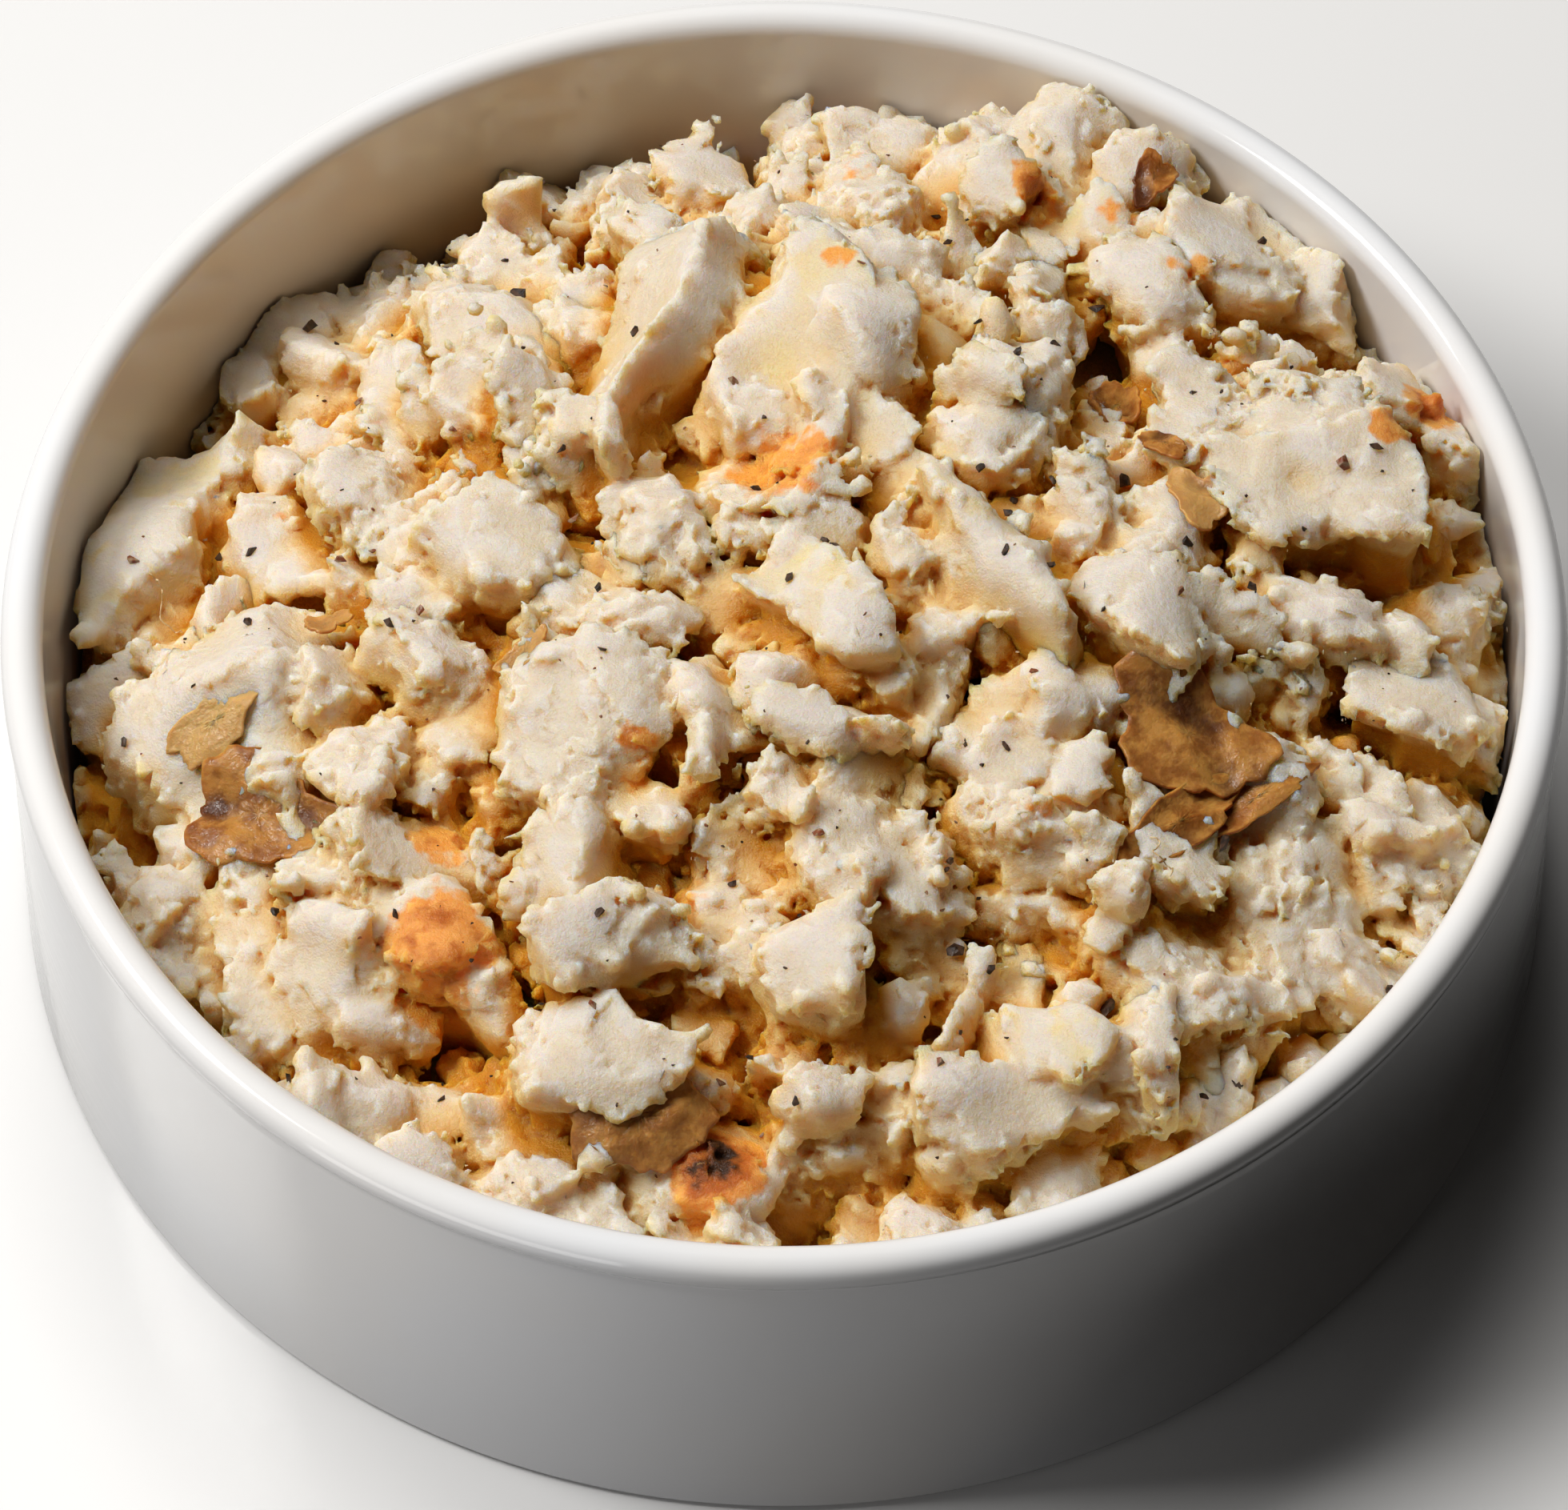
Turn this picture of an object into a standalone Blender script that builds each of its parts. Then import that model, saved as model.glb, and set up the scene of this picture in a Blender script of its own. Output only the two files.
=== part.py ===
"""A side dish of coarsely crushed potato in its straight-sided porcelain bowl.

The bowl is one turned solid. The potato is one heap, built from the torn lumps that
show on top of it, and it fills the bowl down to the floor. Pieces of potato skin lie
bedded in the heap, each a solid of its own.

Metres, +Z up. The origin is at the centre of the bowl's foot, on the table.
"""
import math
import random

import bmesh
import bpy
from mathutils import Euler, Matrix, Vector

MM = 0.001

# ---- Driving dimensions ----
BOWL_RADIUS = 70.0 * MM
BOWL_HEIGHT = 40.0 * MM
LIP_THICKNESS = 3.8 * MM
LIP_OVERHANG = 0.35 * MM          # how far the rolled lip stands out over the wall
LIP_NECK_DROP = 3.6 * MM          # from the top of the lip down to the neck under it
WALL_TAPER = 1.6 * MM             # how far the inner wall leans in by the bottom
FLOOR_TOP = 5.5 * MM
FLOOR_FILLET = 9.0 * MM
FOOT_EDGE = 1.0 * MM              # rounding where the wall meets the foot
FOOT_WIDTH = 4.5 * MM             # flat ring that the bowl stands on
FOOT_RECESS = 1.4 * MM
TURN_STEPS = 52
ARC_STEPS = 6

GAP = 0.3 * MM                    # clearance between solids that touch

HEAP_EDGE = 30.0 * MM             # height of the heap at its edge
HEAP_RISE = 17.0 * MM             # how far the middle stands above the edge
HEAP_SPREAD = 64.0 * MM
HEAP_TOP_AT = (8.0 * MM, 2.0 * MM)
SINK_DIRECTION = (-0.72, 0.69)    # the heap sags away from the wall at the back left
SINK_START = 30.0 * MM
SINK_LENGTH = 35.0 * MM
SINK_DEPTH = 8.0 * MM
CORE_DROP = 6.0 * MM              # packed potato lies this far under the heap's surface

LUMP_VOXEL = 2.0 * MM
KEEP_RATIO = 0.10                 # share of the triangles kept after joining the lumps

COLLECTION = "mashed_potato_side"

# Every lump that can be told apart on the heap, in millimetres and degrees:
# x, y, height of its top over the smooth heap, length, width, depth, yaw, roll, pitch, form
LUMPS = [
    # the crest, with a groove between its two slabs
    (-12, 23, 5.5, 30, 13, 14, 64, 18, 0, "wedge"),
    (1, 24, 5.0, 25, 11, 14, 70, -10, 0, "block"),
    (8, 36, 2.0, 12, 9, 9, 10, 0, 0, "block"),
    (9, 26, 3.0, 15, 9, 9, -52, 0, 0, "block"),
    (16, 26, 3.0, 5, 6, 6, 20, 0, 0, "round"),
    (13, 18, -0.5, 18, 10, 9, -50, -25, 0, "block"),
    (-9, 5, 2.5, 13, 15, 10, 15, 0, 0, "round"),
    (0, 10, 1.5, 13, 8, 9, 0, 20, 0, "block"),
    (15, 1, 3.5, 23, 10, 11, -64, 0, 0, "wedge"),
    (3, -6, 1.5, 16, 13, 9, -20, 8, 0, "block"),
    (0, -14, 0.5, 11, 8, 8, 0, 0, 0, "round"),
    (10, -13, 1.5, 9, 8, 8, 30, 0, 0, "round"),
    (9, -21, 0.5, 10, 9, 8, 0, 0, 0, "round"),
    # along the back
    (-13, 47, 1.5, 10, 12, 10, 0, 0, 0, "block"),
    (-13, 56, 2.0, 9, 9, 9, 20, 0, 0, "round"),
    (-4, 55, 1.5, 10, 10, 10, 0, 0, 0, "round"),
    (-4, 46, 0.0, 9, 8, 8, 0, 0, 0, "round"),
    (5, 50, 1.5, 11, 14, 10, 10, 0, 0, "block"),
    (15, 49, 2.0, 10, 14, 10, 0, 0, 0, "round"),
    (24, 49, 5.0, 24, 12, 14, 78, 0, 0, "block"),
    (34, 49, 3.0, 9, 9, 9, 0, 0, 0, "round"),
    (29, 39, -1.0, 11, 10, 8, 0, 10, 0, "block"),
    (43, 42, 5.0, 17, 18, 14, 28, 0, 0, "block"),
    # the back left, where the heap sags from the wall
    (-26, 48, 3.0, 9, 13, 12, 0, 0, 0, "round"),
    (-26, 52, 6.0, 5, 5, 9, 0, 0, 0, "wedge"),
    (-35, 43, 1.5, 17, 11, 10, -20, 0, 0, "block"),
    (-45, 41, 3.0, 12, 14, 12, 0, 0, 0, "round"),
    (-27, 32, 2.5, 17, 9, 9, -12, 12, 0, "block"),
    (-25, 42, 1.0, 12, 10, 9, 0, 0, 0, "block"),
    # the left side
    (-56, 17, 3.5, 30, 12, 12, 67, -22, 0, "block"),
    (-45.5, 22, 3.5, 6, 7, 7, 10, 0, 0, "round"),
    (-36, 27, 1.5, 6, 5, 5, 0, 0, 0, "round"),
    (-27, 23, 2.5, 15, 13, 10, -20, 0, 0, "block"),
    (-25, 17, 4.0, 6, 8, 7, 0, 0, 0, "round"),
    (-36, 14, 0.5, 13, 12, 8, 0, 0, 0, "block"),
    (-25, 3, 3.0, 13, 12, 9, 5, 0, 0, "block"),
    (-35, 3, 1.5, 9, 11, 8, 0, 0, 0, "round"),
    (-61, 8, 2.0, 6, 8, 6, 0, 0, 0, "round"),
    (-57, 4, 1.0, 7, 6, 6, 0, 0, 0, "round"),
    (-45, 10, -1.5, 12, 10, 8, 0, 0, 0, "block"),
    # the front left
    (-50, -9, 5.0, 22, 22, 16, 20, 0, 0, "round"),
    (-17, -4, 1.5, 14, 8, 8, -10, 0, 0, "round"),
    (-35.5, -6, 2.0, 7, 3, 5, -35, 0, 0, "wedge"),
    (-29, -9, 0.0, 10, 8, 7, 0, 0, 0, "round"),
    (-19, -16, 5.0, 16, 18, 13, 20, 0, 0, "round"),
    (-8, -15, 3.0, 7, 13, 9, 0, 0, 0, "round"),
    (-34, -16, 1.0, 13, 10, 9, 0, 0, 0, "round"),
    (-48, -28, 1.5, 10, 9, 8, 0, 0, 0, "round"),
    (-46.5, -35, 0.5, 8, 8, 7, 0, 0, 0, "round"),
    (-56, -27, -2.0, 6, 5, 6, 0, 0, 0, "round"),
    (-38, -23, 2.0, 13, 11, 9, 30, 0, 0, "block"),
    (-40, -34, 2.0, 10, 13, 9, 0, 0, 0, "round"),
    (-29, -31, 0.5, 12, 14, 8, 0, 0, 0, "block"),
    # the front
    (-14, -35, 4.5, 13, 14, 12, 0, 0, 0, "round"),
    (-18, -47, 3.0, 17, 15, 12, 25, 0, 0, "block"),
    (-34, -46, 1.5, 9, 10, 9, 0, 0, 0, "round"),
    (-25, -53, 0.5, 12, 7, 8, -20, 0, 0, "round"),
    (-5, -36, 0.0, 8, 9, 8, 0, 0, 0, "round"),
    (4, -27, 3.0, 18, 15, 12, 10, 0, 0, "round"),
    (4, -39, 3.5, 13, 13, 12, 8, 0, 0, "block"),
    (-6, -55, -1.0, 10, 6, 7, 0, 0, 0, "round"),
    (-14, -59, -1.5, 12, 4, 6, 5, 0, 0, "round"),
    # the front right
    (14, -43, 2.0, 12, 8, 10, 60, 0, 0, "wedge"),
    (22.5, -45, 4.0, 12, 12, 12, -8, 0, 0, "block"),
    (6, -49, 1.5, 8, 9, 9, 0, 0, 0, "block"),
    (17, -52, 1.5, 17, 8, 9, 10, 0, 0, "block"),
    (24, -56, 2.0, 12, 9, 9, 10, 0, 0, "round"),
    (5, -58, 0.0, 9, 7, 8, 0, 0, 0, "round"),
    (13, -58, 0.5, 7, 6, 7, 0, 0, 0, "round"),
    (30, -48, -1.0, 6, 11, 8, 0, 0, 0, "round"),
    (36, -47, 1.0, 9, 9, 8, 0, 0, 0, "round"),
    (43, -45, 0.0, 8, 5, 7, 40, 0, 0, "round"),
    (50, -40, -1.0, 8, 8, 8, 0, 0, 0, "round"),
    # the right side
    (19, -16, 1.0, 10, 11, 9, 0, 0, 0, "block"),
    (23, -25, 2.0, 9, 10, 9, 0, 0, 0, "round"),
    (34, -17, 1.5, 14, 12, 9, 0, 0, 0, "block"),
    (35, -36, 3.5, 22, 16, 12, -10, 0, 0, "round"),
    (28, -31, 4.5, 6, 6, 6, 0, 0, 0, "round"),
    (35, -40, 4.5, 7, 7, 7, 0, 0, 0, "round"),
    (46, -18, 1.0, 7, 8, 8, 0, 0, 0, "round"),
    (46.5, -26, 0.5, 8, 12, 8, 0, 0, 0, "round"),
    (57, -13, 2.5, 13, 11, 10, -10, 0, 0, "block"),
    (57, -22, 2.0, 12, 12, 10, 0, 0, 0, "round"),
    (55, -34, 1.0, 11, 12, 9, 0, 0, 0, "round"),
    (31, -6, 1.5, 15, 11, 9, -15, 0, 0, "block"),
    (45, -4, 1.5, 15, 10, 9, -10, 0, 0, "round"),
    (59, 1, 3.0, 12, 10, 9, 0, 0, 0, "round"),
    # behind the right side, around the deep hole
    (48, 13, 6.0, 23, 25, 16, 0, 0, 0, "block"),
    (31, 5, 1.0, 14, 14, 9, 0, 0, 0, "round"),
    (22, 3, 2.0, 5, 5, 5, 0, 0, 0, "round"),
    (36.5, 19, 1.5, 8, 16, 10, -10, 0, 0, "block"),
    (23, 19, 2.5, 11, 14, 10, 0, 0, 0, "round"),
    (31, 33, 0.5, 12, 7, 9, 0, 0, 0, "round"),
]

# Pieces of skin lying on the heap, in millimetres and degrees:
# name, x, y, how far it stands off the potato, length, width, yaw, curl
SKINS = [
    ("skin_left", -47.5, -19.0, -0.4, 14.0, 8.0, -18, 1.1),
    ("skin_right_upper", 33.0, -16.0, 0.2, 13.0, 8.0, 12, 1.0),
    ("skin_right_lower", 31.0, -26.0, 0.2, 13.0, 6.0, 42, -1.0),
    ("skin_front", -13.5, -53.5, 0.0, 10.0, 8.0, 25, 0.9),
    ("skin_back", 34.0, 48.5, 0.2, 8.5, 4.5, 78, 1.0),
]
SKIN_THICKNESS = 0.9 * MM
SKIN_CELLS = (7, 5)
BED_MARGIN = 1.5                  # the bed's outline clears the leaf by this many gaps

COLOURS = {                       # base colour, roughness
    "porcelain": ((0.80, 0.81, 0.83), 0.15),
    "potato": ((0.87, 0.76, 0.55), 0.55),
    "skin": ((0.30, 0.17, 0.07), 0.60),
}


# ---- Scene ----
def clear_scene():
    for obj in list(bpy.data.objects):
        bpy.data.objects.remove(obj)


def new_collection(name):
    collection = bpy.data.collections.new(name)
    bpy.context.scene.collection.children.link(collection)
    return collection


def material(name):
    colour, roughness = COLOURS[name]
    made = bpy.data.materials.get(name) or bpy.data.materials.new(name)
    made.use_nodes = True
    shader = made.node_tree.nodes["Principled BSDF"]
    shader.inputs["Base Color"].default_value = (*colour, 1.0)
    shader.inputs["Roughness"].default_value = roughness
    shader.inputs["Metallic"].default_value = 0.0
    return made


def object_from(bm, name, collection, material_name=None):
    mesh = bpy.data.meshes.new(name)
    bm.to_mesh(mesh)
    bm.free()
    obj = bpy.data.objects.new(name, mesh)
    collection.objects.link(obj)
    if material_name:
        mesh.materials.append(material(material_name))
    return obj


def hide_tool(obj):
    """A cutter only shapes other pieces."""
    obj.hide_render = True
    obj.display_type = "WIRE"


# ---- Turned shapes ----
def arc(centre_r, centre_z, radius, start_deg, end_deg, steps=ARC_STEPS):
    """Points of an arc in the (radius, height) plane."""
    points = []
    for i in range(steps + 1):
        angle = math.radians(start_deg + (end_deg - start_deg) * i / steps)
        points.append((centre_r + radius * math.cos(angle), centre_z + radius * math.sin(angle)))
    return points


def turned(name, profile, collection, material_name=None):
    """Turns an open profile, which starts and ends on the axis, into a solid."""
    bm = bmesh.new()
    verts = [bm.verts.new((r, 0.0, z)) for r, z in profile]
    for a, b in zip(verts, verts[1:]):
        bm.edges.new((a, b))
    obj = object_from(bm, name, collection, material_name)
    screw = obj.modifiers.new("Turn", "SCREW")
    screw.axis = "Z"
    screw.angle = math.tau
    screw.steps = TURN_STEPS
    screw.render_steps = TURN_STEPS
    screw.use_merge_vertices = True
    screw.merge_threshold = 0.00001
    obj.data.shade_smooth()
    return obj


def inner_wall(clearance=0.0):
    """The bowl's inside from the axis at the floor, out and up to the lip, moved in by a clearance."""
    lip_radius = LIP_THICKNESS / 2
    wall_top = (BOWL_RADIUS - LIP_THICKNESS - clearance, BOWL_HEIGHT - lip_radius)
    wall_foot = wall_top[0] - WALL_TAPER
    fillet = FLOOR_FILLET - clearance
    floor = FLOOR_TOP + clearance
    return [(0.0, floor)] + arc(wall_foot - fillet, floor + fillet, fillet, -90, 0) + [wall_top]


def build_bowl(collection):
    """One porcelain solid: floor, straight wall, rolled lip and a recessed foot."""
    lip_radius = LIP_THICKNESS / 2
    lip = arc(BOWL_RADIUS - lip_radius, BOWL_HEIGHT - lip_radius, lip_radius, 180, 0, 2 * ARC_STEPS)
    wall = BOWL_RADIUS - LIP_OVERHANG
    neck = [(BOWL_RADIUS - LIP_OVERHANG * 0.35, BOWL_HEIGHT - 0.72 * LIP_NECK_DROP),
            (wall, BOWL_HEIGHT - LIP_NECK_DROP)]
    foot_edge = arc(BOWL_RADIUS - FOOT_EDGE, FOOT_EDGE, FOOT_EDGE, 0, -90, 4)
    foot_inner = BOWL_RADIUS - FOOT_EDGE - FOOT_WIDTH
    foot = [(foot_inner, 0.0), (foot_inner - FOOT_RECESS, FOOT_RECESS), (0.0, FOOT_RECESS)]
    profile = inner_wall()[:-1] + lip + neck + foot_edge + foot
    return turned("bowl", profile, collection, "porcelain")


def build_room(collection):
    """What the bowl can hold, and the air straight above it, clear of the walls."""
    walls = inner_wall(GAP)
    top = 2 * BOWL_HEIGHT
    profile = [(0.0, top), (walls[-1][0], top)] + walls[::-1]
    room = turned("room", profile, collection)
    hide_tool(room)
    return room


# ---- The heap ----
def heap_height(x, y):
    """Height of the smooth heap over the table."""
    from_top = math.hypot(x - HEAP_TOP_AT[0], y - HEAP_TOP_AT[1]) / HEAP_SPREAD
    dome = max(0.0, 1.0 - from_top ** 2)
    along = SINK_DIRECTION[0] * x + SINK_DIRECTION[1] * y - SINK_START
    sink = min(max(along / SINK_LENGTH, 0.0), 1.0)
    return HEAP_EDGE + HEAP_RISE * dome - SINK_DEPTH * sink


def add_core(bm):
    """The packed potato under the lumps: a block whose top follows the heap."""
    half = BOWL_RADIUS
    made = bmesh.ops.create_grid(bm, x_segments=28, y_segments=28, size=half)
    for vert in made["verts"]:
        vert.co.z = heap_height(vert.co.x, vert.co.y) - CORE_DROP
    faces = list({face for vert in made["verts"] for face in vert.link_faces})
    sides = bmesh.ops.extrude_face_region(bm, geom=faces, use_keep_orig=True)
    for item in sides["geom"]:
        if isinstance(item, bmesh.types.BMVert):
            item.co.z = 0.0
    bmesh.ops.recalc_face_normals(bm, faces=bm.faces)


def lump_cage(form, rng):
    """Points of a torn lump that fits a cube from -1 to 1."""
    points = []
    if form == "round":
        count = 26
        for i in range(count):
            z = 1 - 2 * (i + 0.5) / count
            turn = i * math.pi * (3 - math.sqrt(5))
            ring = math.sqrt(1 - z * z)
            reach = rng.uniform(0.84, 1.04)
            points.append(Vector((ring * math.cos(turn), ring * math.sin(turn), z)) * reach)
        return points
    for sx in (-1, 1):
        for sy in (-1, 1):
            for sz in (-1, 1):
                ridge = 0.28 if form == "wedge" and sz > 0 else 1.0
                corner = Vector((sx * rng.uniform(0.68, 1.0),
                                 sy * ridge * rng.uniform(0.68, 1.0),
                                 sz * rng.uniform(0.72, 1.0)))
                points.append(corner)
    for axis in range(3):
        for side in (-1, 1):
            if form == "wedge" and axis == 1:
                continue
            face = Vector((rng.uniform(-0.4, 0.4), rng.uniform(-0.4, 0.4), rng.uniform(-0.4, 0.4)))
            face[axis] = side
            points.append(face)
    return points


def add_lump(bm, row, rng):
    """One torn lump, hulled from its cage, turned and set so that its top is where the row says."""
    x, y, rise, length, width, depth, yaw, roll, pitch, form = row
    size = Matrix.Diagonal((length * MM / 2, width * MM / 2, depth * MM / 2))
    turn = Euler((math.radians(roll), math.radians(pitch), math.radians(yaw)), "XYZ").to_matrix()
    top = heap_height(x * MM, y * MM) + rise * MM
    centre = Vector((x * MM, y * MM, top - depth * MM / 2))
    verts = [bm.verts.new(turn @ (size @ point) + centre) for point in lump_cage(form, rng)]
    hull = bmesh.ops.convex_hull(bm, input=verts)
    loose = [item for item in hull["geom_interior"] + hull["geom_unused"]
             if isinstance(item, bmesh.types.BMVert)]
    bmesh.ops.delete(bm, geom=list(set(loose)), context="VERTS")


def build_mash(collection, room):
    """The heap: core and lumps joined into one body and cut to the bowl."""
    rng = random.Random(7)
    bm = bmesh.new()
    add_core(bm)
    for row in LUMPS:
        add_lump(bm, row, rng)
    mash = object_from(bm, "mash", collection, "potato")
    join = mash.modifiers.new("Join", "REMESH")
    join.mode = "VOXEL"
    join.voxel_size = LUMP_VOXEL
    thin = mash.modifiers.new("Thin", "DECIMATE")
    thin.ratio = KEEP_RATIO
    fit = mash.modifiers.new("Fit", "BOOLEAN")
    fit.operation = "INTERSECT"
    fit.object = room
    return mash


# ---- Skins ----
def drop_on(mash, x, y):
    """The point of the heap straight under a place."""
    bpy.context.view_layer.update()
    heap = mash.evaluated_get(bpy.context.evaluated_depsgraph_get())
    hit, point, _, _ = heap.ray_cast(Vector((x, y, 2 * BOWL_HEIGHT)), Vector((0, 0, -1)))
    if not hit:
        raise ValueError(f"nothing lies under {x:.4f}, {y:.4f}")
    return point


def lie_of(mash, row):
    """Where a leaf of skin comes to rest on the heap: a matrix with its Z off the potato."""
    _, x, y, lift, length, width, yaw, _ = row
    along = Vector((math.cos(math.radians(yaw)), math.sin(math.radians(yaw)), 0))
    across = Vector((-along.y, along.x, 0))
    centre = Vector((x * MM, y * MM, 0))
    ends = []
    for step in (along * length * 0.36 * MM, across * width * 0.36 * MM):
        ends.append([drop_on(mash, *(centre + step * side).xy) for side in (-1, 1)])
    x_axis = (ends[0][1] - ends[0][0]).normalized()
    z_axis = x_axis.cross(ends[1][1] - ends[1][0]).normalized()
    y_axis = z_axis.cross(x_axis)
    rests_at = sum((point for pair in ends for point in pair), Vector()) / 4
    turn = Matrix((x_axis, y_axis, z_axis)).transposed().to_4x4()
    return Matrix.Translation(rests_at + z_axis * lift * MM) @ turn


def skin_shape(name, row, lie, collection, clearance=0.0, material_name=None):
    """A curled leaf of skin. With a clearance it is the bed that the heap keeps free for it."""
    _, _, _, _, length, width, _, curl = row
    bm = bmesh.new()
    leaf = bmesh.ops.create_grid(bm, x_segments=SKIN_CELLS[0], y_segments=SKIN_CELLS[1], size=1.0)
    half_length = length * MM / 2
    half_width = width * MM / 2
    for vert in leaf["verts"]:
        u = vert.co.x * (1 + BED_MARGIN * clearance / half_length)
        v = vert.co.y * (1 + BED_MARGIN * clearance / half_width)
        narrow = math.sqrt(1 - 0.55 * u * u)                # the leaf narrows to its ends
        rounded = math.sqrt(1 - 0.30 * v * v)
        ripple = 0.25 * MM * math.sin(5.0 * u + 1.3 * v)
        sag = -curl * MM * (1.6 * v * v + 0.9 * u * u)
        vert.co = Vector((u * half_length * rounded, v * half_width * narrow, sag + ripple))
    obj = object_from(bm, name, collection, material_name)
    obj.matrix_world = lie
    solid = obj.modifiers.new("Thickness", "SOLIDIFY")
    solid.thickness = SKIN_THICKNESS + 2 * clearance
    solid.offset = 0.0
    return obj


def build_skins(collection, tools, mash):
    """Lays each skin on the heap, then cuts all their beds out of it."""
    lies = {row[0]: lie_of(mash, row) for row in SKINS}
    for row in SKINS:
        name = row[0]
        skin_shape(name, row, lies[name], collection, material_name="skin")
        bed = skin_shape(name + "_bed", row, lies[name], tools, clearance=GAP)
        hide_tool(bed)
        cut = mash.modifiers.new("Bed for " + name, "BOOLEAN")
        cut.operation = "DIFFERENCE"
        cut.object = bed


def main():
    clear_scene()
    part = new_collection(COLLECTION)
    tools = new_collection("cutters")
    build_bowl(part)
    room = build_room(tools)
    mash = build_mash(part, room)
    build_skins(part, tools, mash)


main()
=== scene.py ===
# %% [markdown]
# # A side of crushed potato in its bowl
#
# The real thing is two very different materials. The bowl is glazed porcelain, turned and
# perfectly smooth. The potato is boiled, broken with a fork and heaped while warm: lumps the
# size of a hazelnut with waxy broken faces, held together by granules finer than rice.
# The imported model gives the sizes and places. Everything below builds the looks around it.

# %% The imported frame
import math
import random

import bmesh
import bpy
import numpy as np
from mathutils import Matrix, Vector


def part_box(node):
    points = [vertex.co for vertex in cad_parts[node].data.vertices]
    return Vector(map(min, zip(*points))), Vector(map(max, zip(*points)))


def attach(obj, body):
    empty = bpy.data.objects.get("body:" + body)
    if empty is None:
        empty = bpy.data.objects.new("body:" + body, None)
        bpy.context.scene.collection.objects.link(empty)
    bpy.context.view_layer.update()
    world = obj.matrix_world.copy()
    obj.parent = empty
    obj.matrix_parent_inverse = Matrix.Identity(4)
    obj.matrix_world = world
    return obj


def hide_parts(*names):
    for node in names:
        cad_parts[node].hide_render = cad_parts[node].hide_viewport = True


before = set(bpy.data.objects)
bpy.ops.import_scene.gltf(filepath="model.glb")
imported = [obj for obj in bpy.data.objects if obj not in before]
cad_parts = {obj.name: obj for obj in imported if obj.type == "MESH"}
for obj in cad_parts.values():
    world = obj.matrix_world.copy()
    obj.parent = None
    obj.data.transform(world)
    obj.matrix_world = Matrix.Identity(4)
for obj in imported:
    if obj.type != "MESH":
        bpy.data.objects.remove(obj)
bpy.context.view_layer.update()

import openvdb
from mathutils import Euler, Matrix, Vector

MM = 0.001
BOWL_LOW, BOWL_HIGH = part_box("bowl")
BOWL_RADIUS = (BOWL_HIGH.x - BOWL_LOW.x) / 2
BOWL_HEIGHT = BOWL_HIGH.z - BOWL_LOW.z
print("bowl radius and height in mm:", round(BOWL_RADIUS / MM, 2), round(BOWL_HEIGHT / MM, 2))

# %% [markdown]
# ## Where the camera stands
#
# A dish is looked at from where its eater sits: from the front, looking down. A long lens
# from almost a metre away keeps the far rim nearly as wide as the near one. The camera could
# be aimed with a tracking constraint, but a fixed turn about X says the same thing plainly.

# %% Camera
CAMERA_PITCH = math.radians(55.6)
CAMERA_DISTANCE = 0.840
CAMERA_AIM = Vector((0.0, -16.3 * MM, BOWL_HEIGHT))
LENS_MM = 218.4

camera_data = bpy.data.cameras.new("camera")
camera_data.lens = LENS_MM
camera_data.sensor_width = 36.0
camera_data.clip_start = 0.05
camera = bpy.data.objects.new("camera", camera_data)
back_off = Vector((0.0, -math.cos(CAMERA_PITCH), math.sin(CAMERA_PITCH))) * CAMERA_DISTANCE
camera.location = CAMERA_AIM + back_off
camera.rotation_euler = (math.pi / 2 - CAMERA_PITCH, 0.0, 0.0)
bpy.context.scene.collection.objects.link(camera)
bpy.context.scene.camera = camera
print("camera at", [round(c, 3) for c in camera.location])

# %% [markdown]
# ## Light and floor
#
# One soft box stands to the left, as a window would, and low enough to rake over the lumps so
# that each one shades its neighbour. A larger one high behind stands for the open sky and
# softens those shades, and a small card in front lifts the near wall of the bowl. The world
# adds a weak fill. A sun lamp would be simpler, but its shadows are too hard for a table.

# %% Soft box, fill and floor
WINDOW_WATTS = 9.0
SKY_WATTS = 6.4
CARD_WATTS = 0.035
ROOM_GLOW = 0.015
FLOOR_RADIUS = 0.6


def lamp(name, direction, elevation_deg, distance, size, power, colour):
    """An area lamp aimed at the bowl from a compass direction, given as a vector on the floor."""
    data = bpy.data.lights.new(name, "AREA")
    data.shape = "RECTANGLE"
    data.size, data.size_y = size
    data.energy = power
    data.color = colour
    obj = bpy.data.objects.new(name, data)
    rise = math.radians(elevation_deg)
    flat = Vector((direction[0], direction[1], 0.0)).normalized() * math.cos(rise)
    towards = Vector((flat.x, flat.y, math.sin(rise)))
    obj.location = towards * distance + Vector((0, 0, BOWL_HEIGHT / 2))
    obj.rotation_euler = towards.to_track_quat("Z", "Y").to_euler()
    bpy.context.scene.collection.objects.link(obj)
    return obj


lamp("window", (-0.995, 0.10), 50, 1.10, (0.42, 0.30), WINDOW_WATTS, (1.0, 0.985, 0.96))
sky = lamp("sky", (-0.45, 0.89), 62, 1.0, (0.55, 0.55), SKY_WATTS, (1.0, 0.98, 0.95))
sky.visible_glossy = False
card = lamp("card", (-0.53, -0.848), 6, 0.17, (0.10, 0.04), CARD_WATTS, (1.0, 0.98, 0.97))
card.visible_camera = False

world = bpy.data.worlds.new("room")
world.use_nodes = True
glow = world.node_tree.nodes["Background"]
glow.inputs["Color"].default_value = (1.0, 0.93, 0.86, 1.0)
glow.inputs["Strength"].default_value = ROOM_GLOW
bpy.context.scene.world = world
bpy.context.scene.view_settings.view_transform = "Standard"


def plain_material(name, colour, roughness):
    """One even colour, for the floor, which isn't part of the object."""
    made = bpy.data.materials.new(name)
    made.use_nodes = True
    shader = made.node_tree.nodes["Principled BSDF"]
    shader.inputs["Base Color"].default_value = (*colour, 1.0)
    shader.inputs["Roughness"].default_value = roughness
    return made


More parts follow.
